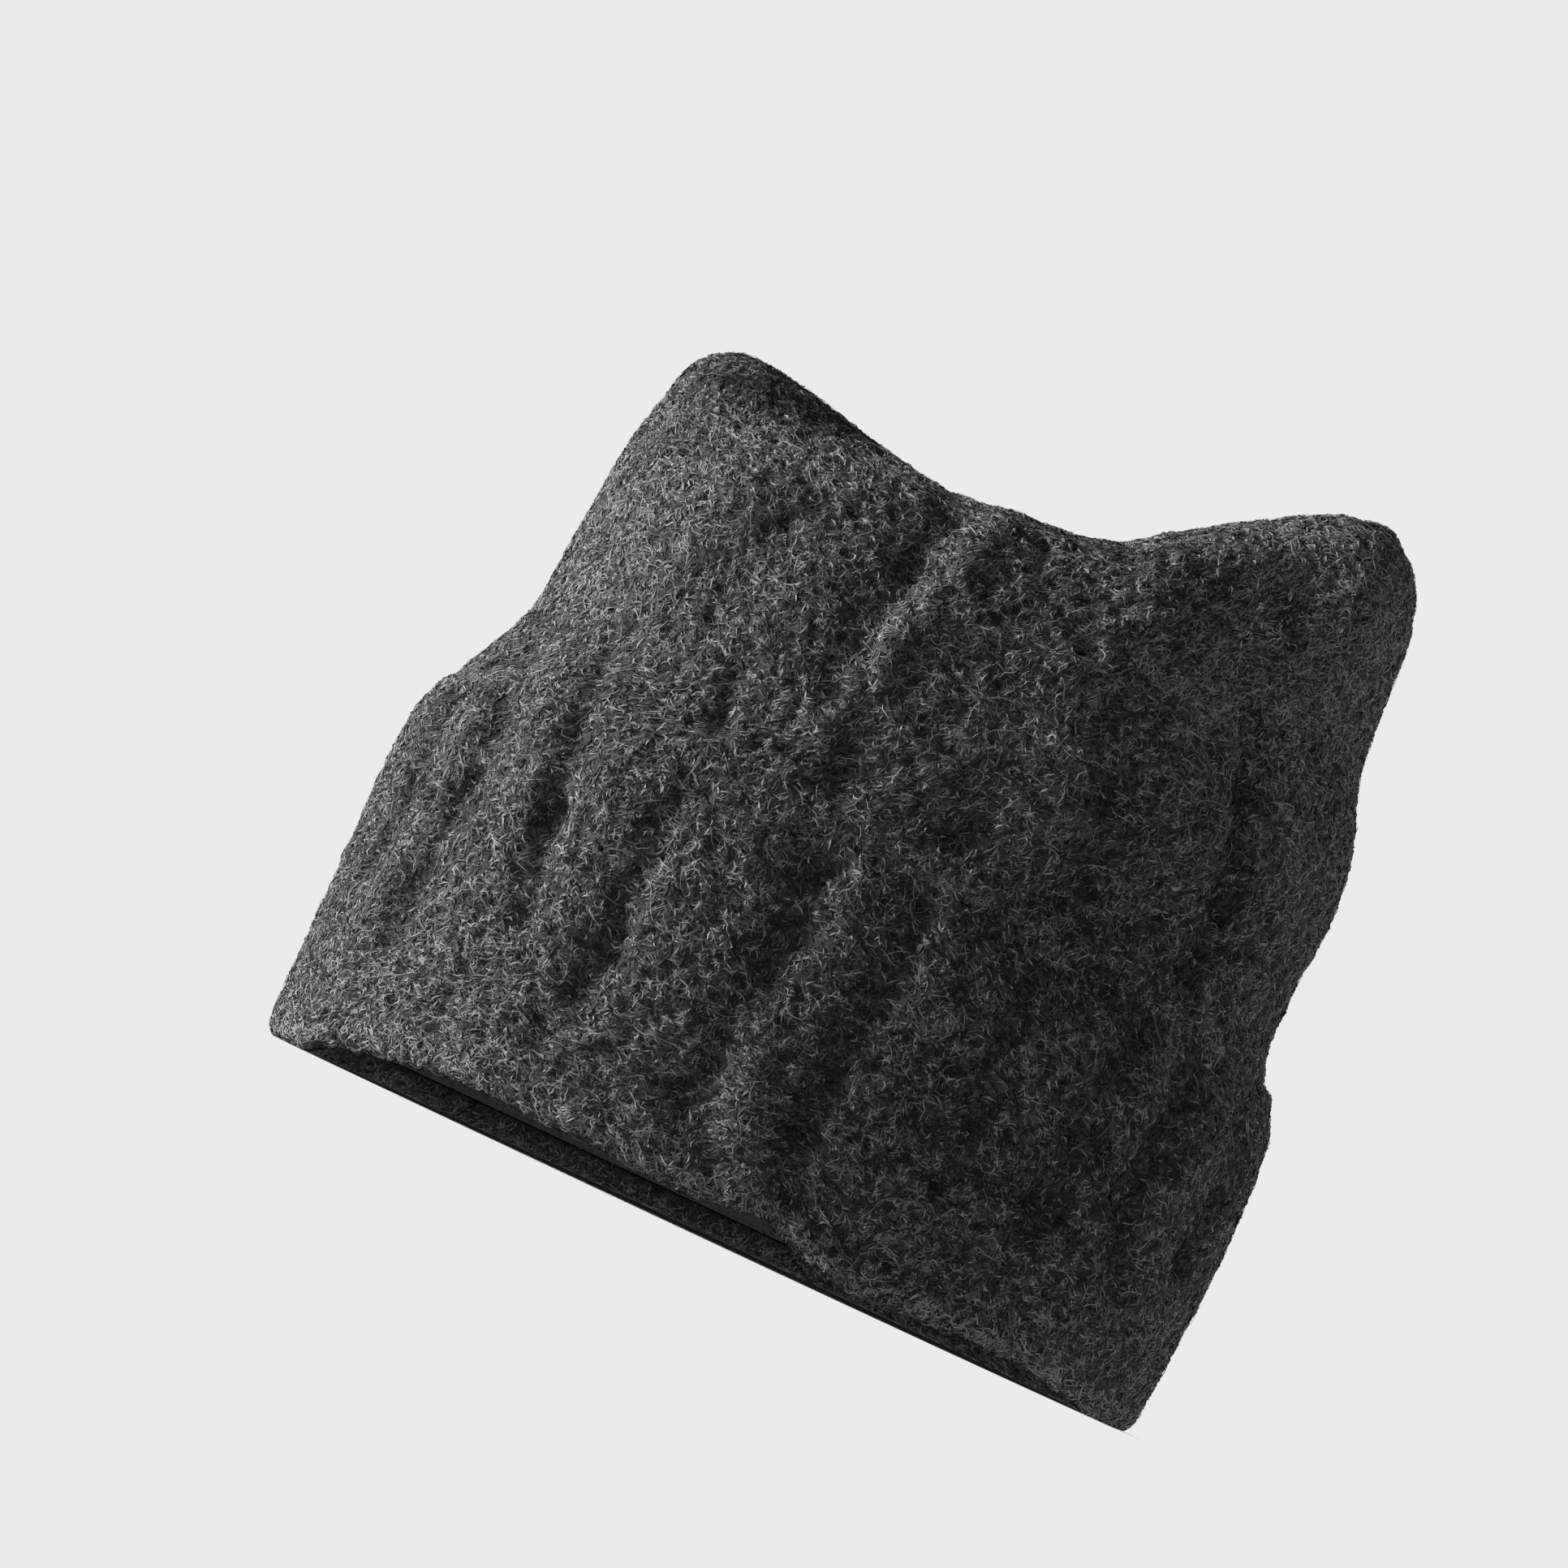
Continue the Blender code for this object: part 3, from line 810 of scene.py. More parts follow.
@dataclass(frozen=True)
class Nap:
    """Fibres of one kind that lie over a skin, as flat ribbons joined into one piece.

    Bareness is the share of fibres that the deepest hollows lack, and the fibres left in hollows are
    darkened as painted shade. Swirls steer neighbouring fibres the same way, and locks are clumps of
    one shade. Rises are shares of a fibre's lift. On the bake map a fibre stands at its shade, its root
    at the lower edge.
    """

    name: str
    fibre: Fibre
    count: int
    seed: int
    first_row: int
    last_row: float = math.inf
    roll: float = 0.42
    most_roll: float = 1.25
    bareness: float = 0.4
    # Painted shade: how much fibres in hollows are darkened.
    painted_hollow_shade: float = 0.36
    wander: float = 0.9
    swirl_seed: int = 500
    swirl_mm: float = 9.0
    swirl_turn: float = 1.8
    lock_mm: float = 2.4
    lock_shade: float = 0.27
    tone_shade: float = 0.05
    shade_range: tuple[float, float] = (0.03, 0.97)
    kink: float = 0.45
    short_bias: float = 1.5
    least_lift: float = 0.25
    rise_start: float = 0.08
    rise_span: float = 0.85
    root_sink: float = 0.1
    width_range: tuple[float, float] = (0.7, 1.2)
    floor_gap: float = 0.15
    map_half_width: float = 0.004
    map_margin: float = 0.02

    def start_places(self, skin: Skin, rng: np.random.Generator) -> tuple[Array, Array]:
        """Random root places, evenly spread over the skin's area.

        Args:
            skin: The skin to grow on.
            rng: The random source.

        Returns:
            Columns and rows of the roots.
        """
        area = skin.steps[..., 0] * skin.steps[..., 1]
        rows, columns = area.shape
        number = np.arange(rows)
        inside = (number >= self.first_row) & (number < min(self.last_row, rows - 1))
        weight = (area * inside[:, None] * (1 - self.bareness * skin.hollow)).ravel()
        cell = rng.choice(rows * columns, size=self.count, p=weight / weight.sum())
        return cell % columns + rng.random(self.count), cell // columns + rng.random(self.count)

    def paths(self, skin: Skin, rng: np.random.Generator) -> tuple[Array, Array, Array]:
        """The fibres' middle lines and the skin's normals along them.

        Args:
            skin: The skin to grow on.
            rng: The random source.

        Returns:
            Points and normals, a row for each fibre, and how hollow each root's place is.
        """
        fibre = self.fibre
        column, row = self.start_places(skin, rng)
        hollow = skin.sample(skin.hollow[..., None], column, row)[..., 0]
        stretch = rng.random(self.count) ** self.short_bias
        step = (fibre.shortest + (fibre.longest - fibre.shortest) * stretch) / fibre.segments
        swirls = RandomField(self.seed + self.swirl_seed, self.swirl_mm)
        heading = self.swirl_turn * math.pi * swirls.at(skin.sample(skin.points, column, row))
        heading = heading + rng.normal(0, self.wander, self.count)
        turn = rng.normal(0, fibre.curl, self.count) * step
        peak = fibre.lift * rng.uniform(self.least_lift, 1.0, self.count)
        points, normals = [], []
        for node in range(fibre.segments + 1):
            share = node / fibre.segments * self.rise_span + self.rise_start
            rise = peak * (math.sin(math.pi * share) - self.root_sink)
            normal = skin.sample(skin.normals, column, row)
            points.append(skin.sample(skin.points, column, row) + normal * rise[:, None])
            normals.append(normal)
            size = skin.sample(skin.steps, column, row)
            column = column + np.cos(heading) * step / size[:, 0]
            row = row + np.sin(heading) * step / size[:, 1]
            heading = heading + turn + rng.normal(0, self.kink, self.count)
        return np.stack(points, axis=1), np.stack(normals, axis=1), hollow

    def corners(self, points: Array, normals: Array, rng: np.random.Generator) -> Array:
        """The corners of the ribbons.

        Args:
            points: The fibres' middle lines.
            normals: The skin's normals along them.
            rng: The random source.

        Returns:
            For each fibre its root, its left edge, its right edge and its tip.
        """
        side = unit(np.cross(normals, np.gradient(points, axis=1)))
        roll = rng.normal(0, self.roll, self.count)
        roll = np.clip(roll, -self.most_roll, self.most_roll)[:, None, None]
        side = np.cos(roll) * side + np.sin(roll) * normals
        half = self.fibre.width / 2 * rng.uniform(*self.width_range, self.count)[:, None, None]
        left = points[:, 1:-1] + side[:, 1:-1] * half
        right = points[:, 1:-1] - side[:, 1:-1] * half
        return np.concatenate([points[:, :1], left, right, points[:, -1:]], axis=1)

    def faces(self) -> list[Array]:
        """The ribbons' faces over their corners.

        Returns:
            Triangles at the roots, triangles at the tips and, in longer fibres, quads between.
        """
        pairs = self.fibre.segments - 1
        lefts = np.arange(1, 1 + pairs)
        rights = lefts + pairs
        tip = 2 * pairs + 1
        base = np.arange(self.count)[:, None] * (tip + 1)
        ends = np.array([[0, rights[0], lefts[0]], [rights[-1], tip, lefts[-1]]])
        if pairs == 1:
            return [base + ends[0], base + ends[1]]
        quads = np.stack([rights[:-1], rights[1:], lefts[1:], lefts[:-1]], axis=1)
        return [base + ends[0], base + ends[1], (base[:, None] + quads).reshape(-1, 4)]

    def grow(self, skin: Skin, tone: RandomField) -> Object:
        """Makes the fibres on a skin.

        Args:
            skin: The skin to grow on.
            tone: A field that lightens and darkens patches of fibres.

        Returns:
            One object with all the fibres.
        """
        rng = np.random.default_rng(self.seed)
        points, normals, hollow = self.paths(skin, rng)
        points[..., 2] = np.maximum(points[..., 2], self.floor_gap)
        corners = self.corners(points, normals, rng)
        roots, middles = points[:, 0], points[:, self.fibre.segments // 2]
        locks = RandomField(self.seed // 10, self.lock_mm).at(middles)
        shade = self.fibre.shade + self.fibre.spread * rng.normal(size=self.count)
        shade = shade + self.tone_shade * tone.at(roots) + self.lock_shade * locks
        # Painted light and painted shade from the front ovals.
        shade = shade + sum(patch.at(roots) for patch in PAINTED_LIGHT_PATCHES)
        # Painted shade: fibres in grooves, pits and pinholes are darkened by their hollow value.
        shade = np.clip(shade - self.painted_hollow_shade * hollow, *self.shade_range)
        inner = np.arange(1, self.fibre.segments) / self.fibre.segments
        edge = np.full(len(inner), self.map_half_width)
        u = shade[:, None] + np.concatenate([[0.0], -edge, edge, [0.0]])
        v = self.map_margin + (1 - 2 * self.map_margin) * np.concatenate([[0.0], inner, inner, [1.0]])
        v = np.broadcast_to(v, u.shape)
        places = np.stack([u, v], axis=-1).reshape(-1, 2)
        faces = self.faces()
        uv = places[np.concatenate([part.ravel() for part in faces])]
        return mesh_object(self.name, corners.reshape(-1, 3), faces, uv)


@dataclass(frozen=True)
class Pit:
    """A small dent in the front of the cloth."""

    x: float
    z: float
    radius: float
    depth: float

    def at(self, points: Array) -> Array:
        """How deep the pit is at points."""
        away = np.hypot(points[..., 0] - self.x, points[..., 2] - self.z)
        return self.depth * bell(away / self.radius) * (points[..., 1] < 0)


def in_front(angle: Array) -> Array:
    """How far angles round the hat lie in its front, from 0 behind and beside to 1."""
    return ease((-np.sin(angle) - 0.05) / 0.3)


@dataclass(frozen=True)
class CuffEdge:
    """The wavy upper edge of the cuff."""

    middle_z: float = 85.4
    right_drop: float = 3.25
    back_drop: float = 3.5
    side_drop: float = 2.1

    def at(self, angle: Array) -> Array:
        """The edge's height at angles round the hat."""
        z = self.middle_z - self.right_drop * np.cos(angle) - self.back_drop * np.sin(angle)
        return z - self.side_drop * np.cos(2 * angle)


@dataclass(frozen=True)
class Ribs:
    """The ribs of the knit: how many, where their grooves run and how sharp these are."""

    count: int = 24
    start: float = 0.46
    drift: float = 0.22
    drift_place: float = 0.81
    drift_width: float = 0.05
    sharpness: float = 7.0

    def groove(self, share: Array) -> Array:
        """How deep a groove is at shares of the way round, from 0 to 1."""
        drift = self.drift * bell((share - self.drift_place) / self.drift_width)
        return (0.5 + 0.5 * np.cos(TURN * (self.count * share - self.start - drift))) ** self.sharpness


@dataclass(frozen=True)
class Unevenness:
    """How strongly ribs and folds show from place to place, about a middle strength."""

    seed: int
    wavelength: float
    middle: float
    swing: float
    least: float
    most: float = 1.5

    def at(self, points: Array) -> Array:
        """The strength at points."""
        strength = self.middle + self.swing * RandomField(self.seed, self.wavelength).at(points)
        return np.clip(strength, self.least, self.most)


@dataclass(frozen=True)
class Dimples:
    """Scattered hollows: they start at one level of a random field and are full a span above it."""

    wavelength: float
    level: float
    span: float
    depth: float

    def at(self, seed: int, points: Array) -> Array:
        """The share of the full depth at points, for one draw."""
        above = RandomField(seed, self.wavelength).at(points) - self.level
        return np.clip(above / self.span, 0.0, 1.0)


@dataclass(frozen=True)
class Felting:
    """The matted relief of the brushed knit: curled ridges, soft clumps, pinholes and pits."""

    seed: int
    ridge: float = 0.4
    ridge_wave: float = 5.5
    ridge_level: float = 0.6
    clump: float = 0.18
    clump_wave: float = 9.0
    pits: Dimples = Dimples(7.0, level=1.35, span=0.9, depth=0.4)
    pinholes: Dimples = Dimples(3.4, level=0.6, span=0.8, depth=0.5)
    pinhole_hollow: float = 0.8

    def at(self, points: Array) -> tuple[Array, Array]:
        """The relief and the hollowness at points.

        Args:
            points: Places in millimetres.

        Returns:
            Heights, and values from 0 to 1 that are high in pinholes and pits.
        """
        ridge = self.ridge_level - np.abs(RandomField(self.seed, self.ridge_wave).at(points))
        clump = RandomField(self.seed + 1, self.clump_wave).at(points)
        pit, pinhole = self.pits.at(self.seed + 2, points), self.pinholes.at(self.seed + 3, points)
        height = ridge * self.ridge + clump * self.clump
        height = height - pinhole * self.pinholes.depth - pit * self.pits.depth
        return height, np.maximum(pit, self.pinhole_hollow * pinhole)


@dataclass
class Crown:
    """The knitted crown with its two ears.

    The seal fills the step at the cuff's edge, more so in front.
    """

    form: HatForm
    ribs: Ribs
    arch: Arch
    edge: CuffEdge
    wall: float = 4.5
    columns: int = 480
    hidden_rows: tuple[float, ...] = (0.0, 0.13, 0.26, 0.34)
    visible_start: float = 0.37
    visible_rows: int = 118
    crowding: float = 1.5
    inner_rows: tuple[float, ...] = (0.0, 0.36, 0.51, 0.66, 0.78, 0.88, 0.95)
    ring_count: int = 720
    ring_inset: float = -5.0
    rib_depth: float = 0.8
    rib_top_z: float = 150.0
    rib_fade: float = 60.0
    uneven: Unevenness = Unevenness(15, 22.0, middle=0.4, swing=0.8, least=0.0)
    seal: float = 2.0
    seal_reach: float = 6.0
    seal_shares: tuple[float, float] = (0.6, 0.4)
    relief_z: float = 60.0
    relief_reach: float = 12.0
    groove_hollow: float = 0.45
    dent_hollow: float = 0.5
    pits: tuple[Pit, ...] = records(
        Pit, (-15, 100, 5, 1.4), (14, 99, 4, 1.5), (-42, 100, 3.5, 0.8), (39, 122, 5, 1.1),
        (40, 106, 5, 1.1), (57, 132, 4, 1),
    )
    grooves: Folds = (
        (-85, 104, -86, 96, 3.5, -1.4), (-69, 108, -70, 96, 3.5, -1.3),
        (-43, 114, -43, 100, 4, -0.8), (-17, 114, -15, 98, 5, -1.3), (14, 114, 14, 100, 4, -0.7),
        (40, 124, 40, 98, 4, -0.9), (59, 152, 66, 134, 2.8, -1.4), (66, 134, 71, 112, 3, -1.6),
        (71, 112, 69, 94, 3.2, -1.3),
    )

    def relief(self, skin: Skin) -> tuple[Array, Array]:
        """The felted surface's relief.

        Args:
            skin: The plain outer skin.

        Returns:
            Heights, and how hollow each place is.
        """
        angle = np.arange(self.columns) / self.columns * TURN
        ring = self.form.even_angles(self.ring_count, self.ring_inset)
        share = np.interp(angle, ring, np.arange(self.ring_count) / self.ring_count)
        x, z = skin.points[..., 0], skin.points[..., 2]
        front = in_front(angle)[None]
        groove = self.ribs.groove(share)[None] * self.uneven.at(skin.points)
        groove = groove * ease((self.rib_top_z - z) / self.rib_fade) * (1 - front)
        felt, pit = Felting(11).at(skin.points)
        felt = felt * self.form.roughness(skin.points)
        plain, added = self.seal_shares
        seal = self.seal * (plain + added * front) * bell((z - self.edge.at(angle)) / self.seal_reach)
        dents = sum(pit.at(skin.points) for pit in self.pits)
        dents = dents - front * fold_height(self.grooves, x, z)
        shown = ease((z - self.relief_z) / self.relief_reach)
        height = (felt - self.rib_depth * groove - dents + seal) * shown
        return height, np.clip(self.groove_hollow * groove + pit + self.dent_hollow * dents, 0.0, 1.0)

    def build(self) -> tuple[Object, Skin]:
        """Makes the crown.

        Returns:
            The crown, and the skin that its nap grows on.
        """
        t = 1 - (1 - np.linspace(0.0, 1.0, self.visible_rows)) ** self.crowding
        rows = np.append(self.hidden_rows, self.visible_start + (1 - self.visible_start) * t[:-1])
        shell = SeamedShell(self.form, self.columns, rows, np.array(self.inner_rows), 0.0, self.wall)
        plain = shell.skin(Side.OUTER)
        outer = self.arch.raised(plain.displaced(*self.relief(plain)))
        return shell.build("knit_crown", outer, self.arch.raised(shell.skin(Side.INNER))), outer


@dataclass
class Cuff:
    """The turned-up ribbed cuff with the rolled rim below it.

    Its top rounds off towards the edge, and more where it is fused to the crown, from the left
    ear's side rightwards in front.
    """

    form: HatForm
    ribs: Ribs
    arch: Arch
    edge: CuffEdge
    wall: float = 5.0
    least_wall: float = 1.2
    gap: float = 0.3
    rim_height: float = 5.5
    rim_flat: tuple[float, float] = (-1.6, 2.8)
    rim_felt: float = 0.25
    rim_steps: int = 8
    foot_inner: float = 6.5
    inside_shares: tuple[float, ...] = (0.85, 0.6, 0.3)
    shoulder: float = 3.5
    edge_flare: float = 0.6
    edge_steps: int = 12
    rounding: float = 13.0
    rounding_depth: float = 2.0
    rounding_power: float = 1.3
    fused_rounding: float = 12.0
    fused_depth: float = 1.8
    fused_x: float = -78.0
    fused_reach: float = 36.0
    rib_depth: float = 2.4
    rib_end_share: float = 0.2
    rib_full_z: float = 40.0
    uneven: Unevenness = Unevenness(21, 11.0, middle=0.95, swing=0.25, least=0.3)
    fold_shares: tuple[float, float] = (0.55, 0.45)
    groove_hollow: float = 0.75
    dent_hollow: float = 0.5
    fold_hollow: float = 0.46
    columns_per_rib: int = 20
    face_rows: int = 78
    folds: Folds = (
        (-98, 90, -98, 40, 2, -2.6), (-86, 97, -86, 62, 3.2, -3.2), (-86, 62, -88, 26, 3, -2.5),
        (-70, 97, -67, 66, 3.4, -2.6), (-67, 66, -63, 44, 3.4, -2.2), (-43, 96, -45, 34, 3.8, -1.8),
        (-45, 34, -50, 18, 4, -0.9), (-14, 96, -11, 62, 5.5, -2.4), (-11, 62, -16, 22, 5, -2),
        (14, 94, 11, 60, 3.8, -2.1), (11, 60, 8, 26, 3.8, -2.3), (8, 26, 11, 6, 4, -2.5),
        (-9, 44, 2, 12, 6, 1.2), (39, 94, 40, 30, 3.6, -1.9), (65, 84, 60, 30, 3.6, -2.4),
        (82, 88, 78, 46, 3.4, -3.3), (78, 46, 84, 26, 3.4, -2.8), (97, 78, 96, 36, 2.8, -2.6),
    )
    pits: tuple[Pit, ...] = records(
        Pit, (-86, 88, 4, 1.6), (-86, 68, 3.5, 1.8), (-88, 38, 4, 1.3), (-70, 88, 3.5, 1.3),
        (-43, 45, 5, 1.3), (-43, 90, 4, 1.6), (-12, 80, 5, 1.5), (14, 92, 4.5, 1.7),
        (9, 42, 4, 0.9), (60, 38, 3.5, 1.4), (78, 47, 3.5, 1.4), (-64, 53, 3, 0.6),
    )

    def face_inset(self, share: Array, angle: Array, z: Array, top: Array) -> tuple[Array, Array]:
        """The inset of the ribbed outer face.

        Args:
            share: Shares of the way round, one for each row of z.
            angle: Angles of the same columns.
            z: Heights.
            top: The height of the edge above each column.

        Returns:
            Insets, negative because the face lies outside the crown, and how hollow each place is.
        """
        share, angle, top = (values + 0 * z for values in (share, angle, top))
        fade = ease((z - self.rim_height) / self.rib_full_z)
        fade = self.rib_end_share + (1 - self.rib_end_share) * fade
        plain = -(self.gap + self.wall)
        base = self.form.surface(angle, self.form.shares_at_heights(angle[:, 0], z), plain)
        uneven = self.uneven.at(base)
        front = in_front(angle)
        groove = self.ribs.groove(share) * fade * uneven * (1 - front)
        dents = sum(pit.at(base) for pit in self.pits)
        steady, varied = self.fold_shares
        lifted = fold_height(self.folds, base[..., 0], z) * (steady + varied * uneven) * front
        fused = front * ease((base[..., 0] - self.fused_x) / self.fused_reach)
        reach = self.rounding + self.fused_rounding * fused
        rounded = ease(1 - (top - z) / reach) ** self.rounding_power
        rounded = (self.rounding_depth + self.fused_depth * fused) * rounded
        inset = plain + self.rib_depth * groove + dents + rounded - lifted
        hollow = self.groove_hollow * groove + self.dent_hollow * dents
        hollow = hollow - self.fold_hollow * np.minimum(lifted, 0.0)
        return np.minimum(inset, -self.gap - self.least_wall), np.clip(hollow, 0.0, 1.0)

    def profile(self, share: Array, angle: Array) -> tuple[Array, ...]:
        """The cuff's section at each column, from the hidden face down, round the rim and up.

        Args:
            share: Shares of the way round, one for each column.
            angle: Angles of the columns.

        Returns:
            Insets, heights, how much of the relief each point takes and how hollow it is.
        """
        angle, share = angle[:, None], share[:, None]
        top = self.edge.at(angle)
        shoulder = top - self.shoulder
        rim, (flat_out, flat_in) = self.rim_height, self.rim_flat
        face_z = rim + (shoulder - rim) * np.linspace(0.0, 1.0, self.face_rows)[None]
        face, hollow = self.face_inset(share, angle, face_z, top)
        foot, head = face[:, :1], face[:, -1:]
        inside_z = rim + (shoulder - rim) * np.array([self.inside_shares])
        ledge = np.array([[-self.gap, self.foot_inner]])
        turn = np.linspace(0.0, math.pi / 2, self.rim_steps)[1:-1][None]
        roll_in = flat_in + (self.foot_inner - flat_in) * np.cos(turn)
        flat = np.linspace(flat_in, flat_out, 4)[None]
        roll_out = flat_out + (foot - flat_out) * np.sin(turn)
        over = np.linspace(0.0, math.pi, self.edge_steps)[1:][None]
        start = -self.gap - self.edge_flare
        edge = (head + start) / 2 + (head - start) / 2 * np.cos(over)
        edge_z = shoulder + self.shoulder * np.sin(over)
        outwards = ease((edge - start) / (head - start))
        sections = (
            (-self.gap, inside_z, 0, 0),
            (ledge, rim, 0, 0),
            (roll_in, rim * (1 - np.sin(turn)), self.rim_felt, 0),
            (flat, 0, 0, 1),
            (roll_out, rim * (1 - np.cos(turn)), 1, 0),
            (face, face_z, 1, hollow),
            (edge, edge_z, outwards, 0.5 * hollow[:, -1:]),
        )
        return tuple(map(np.hstack, zip(*(np.broadcast_arrays(*row, top)[:4] for row in sections))))

    def build(self) -> tuple[Object, Skin]:
        """Makes the cuff.

        Returns:
            The cuff, and the skin that its nap grows on.
        """
        columns = self.ribs.count * self.columns_per_rib
        angle = self.form.even_angles(columns, -self.wall)
        inset, z, shown, hollow = self.profile(np.arange(columns) / columns, angle)
        points = self.form.surface(angle[:, None] + 0 * z, self.form.shares_at_heights(angle, z), inset)
        points[..., 2] = z
        plain = Skin(points.transpose(1, 0, 2).copy(), False)
        felt, pit = Felting(31).at(plain.points)
        felt = felt * self.form.roughness(plain.points)
        skin = self.arch.raised(plain.displaced(felt * shown.T, np.clip(hollow.T + pit, 0.0, 1.0)))
        skin.points[..., 2] = np.maximum(skin.points[..., 2], 0.0)
        return grid_object("knit_cuff", skin.points, False), skin


@dataclass
class Lining:
    """The smooth inner bag, softly wrinkled on the side that shows."""

    form: HatForm
    arch: Arch
    inset: float = 5.0
    wall: float = 1.5
    columns: int = 168
    rows: int = 34
    last_row: float = 0.97
    wrinkle: float = 0.35
    wrinkle_wave: float = 24.0
    wrinkle_z: float = 8.0
    wrinkle_reach: float = 15.0
    wrinkle_drop: float = 0.2

    def build(self) -> Object:
        """Makes the lining.

        Returns:
            The lining.
        """
        rows = np.linspace(0.0, self.last_row, self.rows)
        shell = SeamedShell(self.form, self.columns, rows, rows, self.inset, self.wall)
        inner = shell.skin(Side.INNER)
        wrinkle = self.wrinkle * RandomField(41, self.wrinkle_wave).at(inner.points)
        wrinkle = wrinkle * ease((inner.points[..., 2] - self.wrinkle_z) / self.wrinkle_reach)
        outer = self.arch.raised(shell.skin(Side.OUTER))
        inner = self.arch.raised(inner.displaced(wrinkle - self.wrinkle_drop))
        return shell.build("lining_bag", outer, inner)


@dataclass(frozen=True)
class Lamp:
    """A distant soft light, its place in degrees from the front towards the left and upwards."""

    name: str
    energy: float
    azimuth: float
    elevation: float
    softness: float = 20.0

    def hang(self) -> None:
        """Adds the light to the scene."""
        source = bpy.data.lights.new(self.name, "SUN")
        source.energy = self.energy
        source.angle = math.radians(self.softness)
        light = bpy.data.objects.new(self.name, source)
        turn, rise = math.radians(self.azimuth), math.radians(self.elevation)
        flat = math.cos(rise)
        towards = Vector((-math.sin(turn) * flat, -math.cos(turn) * flat, math.sin(rise)))
        light.rotation_euler = towards.to_track_quat("Z", "Y").to_euler()
        bpy.context.scene.collection.objects.link(light)


@dataclass(frozen=True)
class Studio:
    """The pale sweep, the lights and the camera, in metres but for the size of a pixel."""

    backdrop: float = 0.83
    floor_albedo: float = 0.95
    floor_radius: float = 6.0
    floor_rings: tuple[float, ...] = (0.02, 0.1, 0.25, 0.5, 1.0)
    floor_corners: int = 96
    footprint: tuple[float, float] = (0.098, 0.078)
    footprint_edge: tuple[float, float] = (0.95, 1.1)
    shadow_reach: float = 0.12
    floor_bounce: float = 0.42
    floor_glow: float = 0.25
    inner_glow: float = 0.38
    horizon: float = 0.25
    zenith: float = 0.08
    zenith_start: float = 0.8
    lamps: tuple[Lamp, ...] = (Lamp("key", 9.5, 87.0, 9.0), Lamp("rim", 0.7, -125.0, 25.0))
    sensor: float = 36.0
    distance: float = 1.2
    camera_height: float = 0.009
    mm_per_pixel: float = 0.1785
    roll: float = 25.0
    aim: tuple[float, float, float] = (-0.0249, -0.005, 0.0975)

    def sweep(self) -> None:
        """Lays the floor, a wide disc."""
        count = self.floor_corners
        angle = np.arange(count) * TURN / count
        radii = self.floor_radius * np.array(self.floor_rings)
        rings = [np.stack([r * np.cos(angle), r * np.sin(angle), 0 * angle], axis=-1) for r in radii]
        numbers = np.arange(len(rings) * count).reshape(len(rings), count)
        ahead = np.roll(numbers, -1, axis=1)
        bands = np.stack([numbers[:-1], numbers[1:], ahead[1:], ahead[:-1]], axis=-1).reshape(-1, 4)
        made = mesh_object("studio_floor", np.vstack(rings) / MM, [numbers[:1], bands])
        made.data.materials.append(self.sweep_material())

    def sweep_material(self) -> Material:
        """Pale paper at the hat's foot, an even glow beyond it and soft light from below inside it.

        Returns:
            The material.
        """
        made, wire, paper = new_material("studio_paper")
        seen = wire.add("LightPath").outputs["Is Camera Ray"]
        place = wire.vector("DIVIDE", wire.add("TexCoord").outputs["Object"], (*self.footprint, 1.0))
        away = wire.add("VectorMath", {0: place}, operation="LENGTH").outputs["Value"]
        outside = wire.range(away, *self.footprint_edge)
        lift = wire.math("MULTIPLY", wire.math("MULTIPLY", seen, self.floor_glow), outside)
        brighter = self.floor_albedo - self.floor_bounce
        shade = wire.math("MULTIPLY_ADD", seen, brighter, self.floor_bounce)
        wire.feed(paper, {
            "Base Color": shade,
            "Roughness": 1.0,
            "Specular IOR Level": 0.0,
            "Emission Color": WHITE,
            "Emission Strength": lift,
        })
        glow = wire.add("Emission", {"Color": (self.backdrop, self.backdrop, self.backdrop * 1.005, 1.0)})
        beyond = wire.range(away, 1.0, 1.0 + self.shadow_reach)
        ground = wire.add("MixShader", {0: beyond, 1: paper.outputs[0], 2: glow.outputs[0]})
        inside = wire.add("Emission", {"Strength": self.inner_glow})
        unseen, within = (wire.math("SUBTRACT", 1.0, value) for value in (seen, outside))
        clear = wire.math("MULTIPLY", unseen, within)
        whole = wire.add("MixShader", {0: clear, 1: ground.outputs[0], 2: inside.outputs[0]})
        wire.feed(made.node_tree.nodes["Material Output"], {"Surface": whole.outputs[0]})
        return made

    def light(self) -> None:
        """A soft key from the left, a faint rim light and a dim surround."""
        world = bpy.data.worlds.new("surround")
        bpy.context.scene.world = world
        world.use_nodes = True
        wire = Wiring(world.node_tree)
        split = wire.add("SeparateXYZ", {0: wire.add("TexCoord").outputs["Generated"]})
        high = wire.range(split.outputs["Z"], 0.0, self.zenith_start)
        ambient = wire.math("MULTIPLY_ADD", high, self.zenith - self.horizon, self.horizon)
        seen = wire.add("LightPath").outputs["Is Camera Ray"]
        lacking = wire.math("SUBTRACT", self.backdrop, ambient)
        strength = wire.math("MULTIPLY_ADD", seen, lacking, ambient)
        wire.feed(world.node_tree.nodes["Background"], {"Color": WHITE, "Strength": strength})
        for lamp in self.lamps:
            lamp.hang()

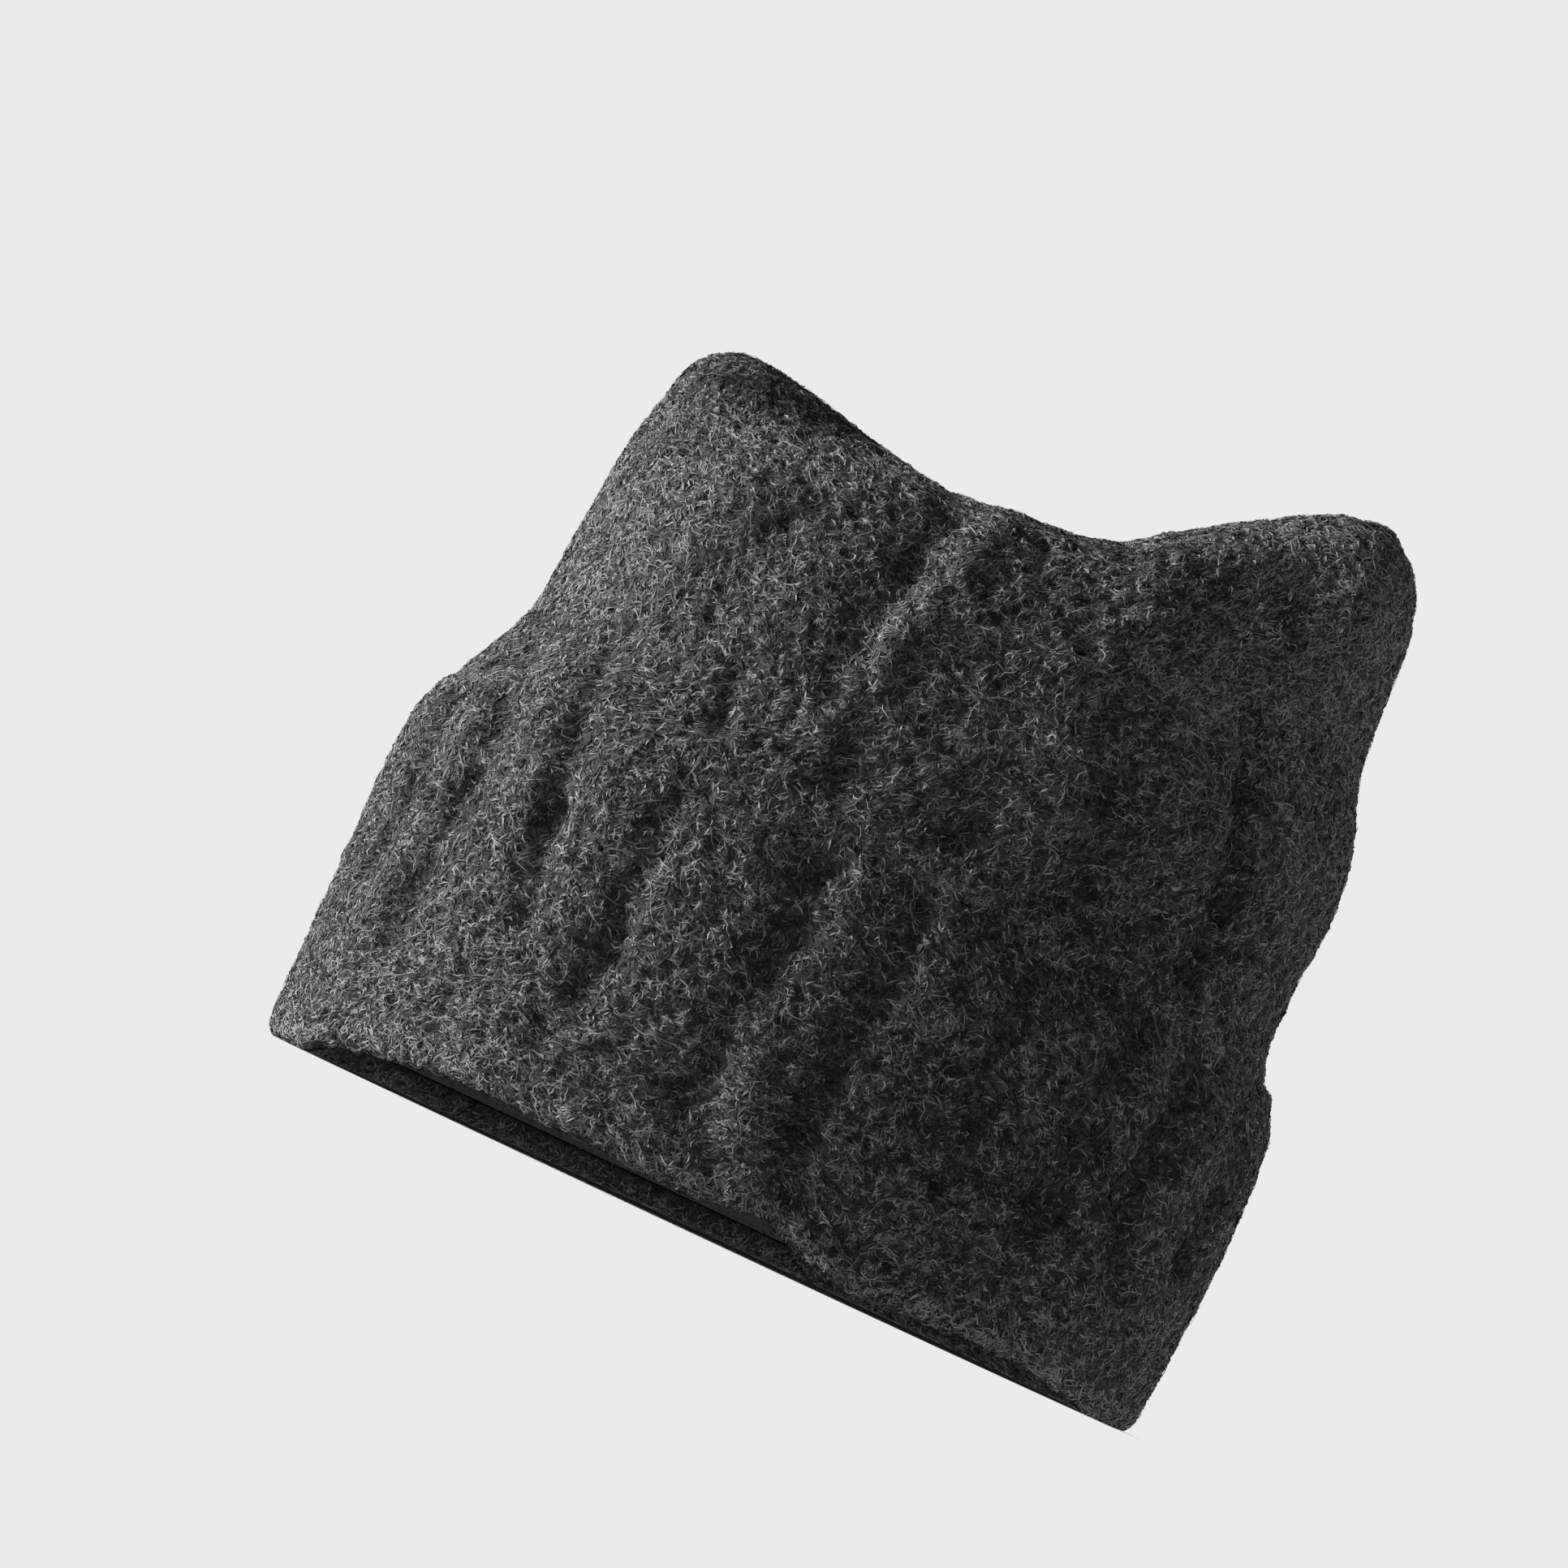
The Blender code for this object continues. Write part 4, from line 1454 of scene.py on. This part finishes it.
    def camera(self) -> None:
        """The camera, low in front of the hat and rolled so that the hat tilts as in the photo."""
        lens = bpy.data.cameras.new("photo_view")
        lens.sensor_width = self.sensor
        lens.lens = self.sensor * self.distance / (PHOTO_SIDE * self.mm_per_pixel * MM)
        view = bpy.data.objects.new("photo_view", lens)
        aim = Vector(self.aim)
        view.location = place = Vector((aim.x, aim.y - self.distance, self.camera_height))
        view.rotation_mode = "QUATERNION"
        roll = Quaternion((0.0, 0.0, 1.0), math.radians(self.roll))
        view.rotation_quaternion = (aim - place).to_track_quat("-Z", "Y") @ roll
        bpy.context.scene.collection.objects.link(view)
        bpy.context.scene.camera = view

    def set_up(self) -> None:
        """Sets the stage, the lights, the camera and the picture's tone."""
        self.sweep()
        self.light()
        self.camera()
        settings = bpy.context.scene.view_settings
        settings.view_transform = "Standard"
        settings.look = "None"


def dress(piece: Object, material: Material, slot: str, *nodes: str) -> None:
    """Gives a piece its material and its body, and hides the nodes that it replaces.

    Args:
        piece: The piece.
        material: Its material.
        slot: The finish that its material stands for; not used.
        nodes: The solids that it stands in for, none for loose fibres.
    """
    piece.data.materials.append(material)
    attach(piece, BODY)
    if nodes:
        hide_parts(*nodes)
    LOG.info("%s: %d vertices, %d faces", piece.name, len(piece.data.vertices), len(piece.data.polygons))


def main() -> None:
    """Builds the hat and its studio."""
    logging.basicConfig(level=logging.INFO, format="%(message)s")
    Studio().set_up()
    group, knit = cloth_group(), ClothFinish()
    form, ribs, arch, edge = HatForm(), Ribs(), Arch(), CuffEdge()

    crown, crown_skin = Crown(form, ribs, arch, edge).build()
    dress(crown, knit.material("crown_knit", group), "crown_knit", "crown")
    cuff, cuff_skin = Cuff(form, ribs, arch, edge).build()
    dress(cuff, knit.material("cuff_knit", group), "cuff_knit", "cuff")
    lining = Lining(form, arch).build()
    dress(lining, FLEECE.material("lining_fleece", group), "lining_fleece", "lining")

    wool = FibreFinish().material("wool_fibre")
    tone = RandomField(51, 16.0)
    crown_naps = (
        Nap("crown_nap", SHORT, 96000, 61, first_row=4),
        Nap("crown_curls", CURLED, 20000, 62, first_row=4),
        Nap("crown_strays", STRAY, 160, 63, first_row=6),
    )
    for nap in crown_naps:
        dress(nap.grow(crown_skin, tone), wool, "crown_knit")
    cuff_naps = (
        Nap("cuff_nap", SHORT, 96000, 71, first_row=5),
        Nap("cuff_curls", CURLED, 19000, 72, first_row=5),
        Nap("cuff_strays", STRAY, 150, 73, first_row=15, last_row=len(cuff_skin.points) - 8),
        # Painted highlight: the light curls along the rim's lip.
        Nap("rim_curls_painted_highlight", PAINTED_RIM_HIGHLIGHT, 3600, 74, first_row=16, last_row=20),
    )
    for nap in cuff_naps:
        dress(nap.grow(cuff_skin, tone), wool, "cuff_knit")


if __name__ == "__main__":
    main()
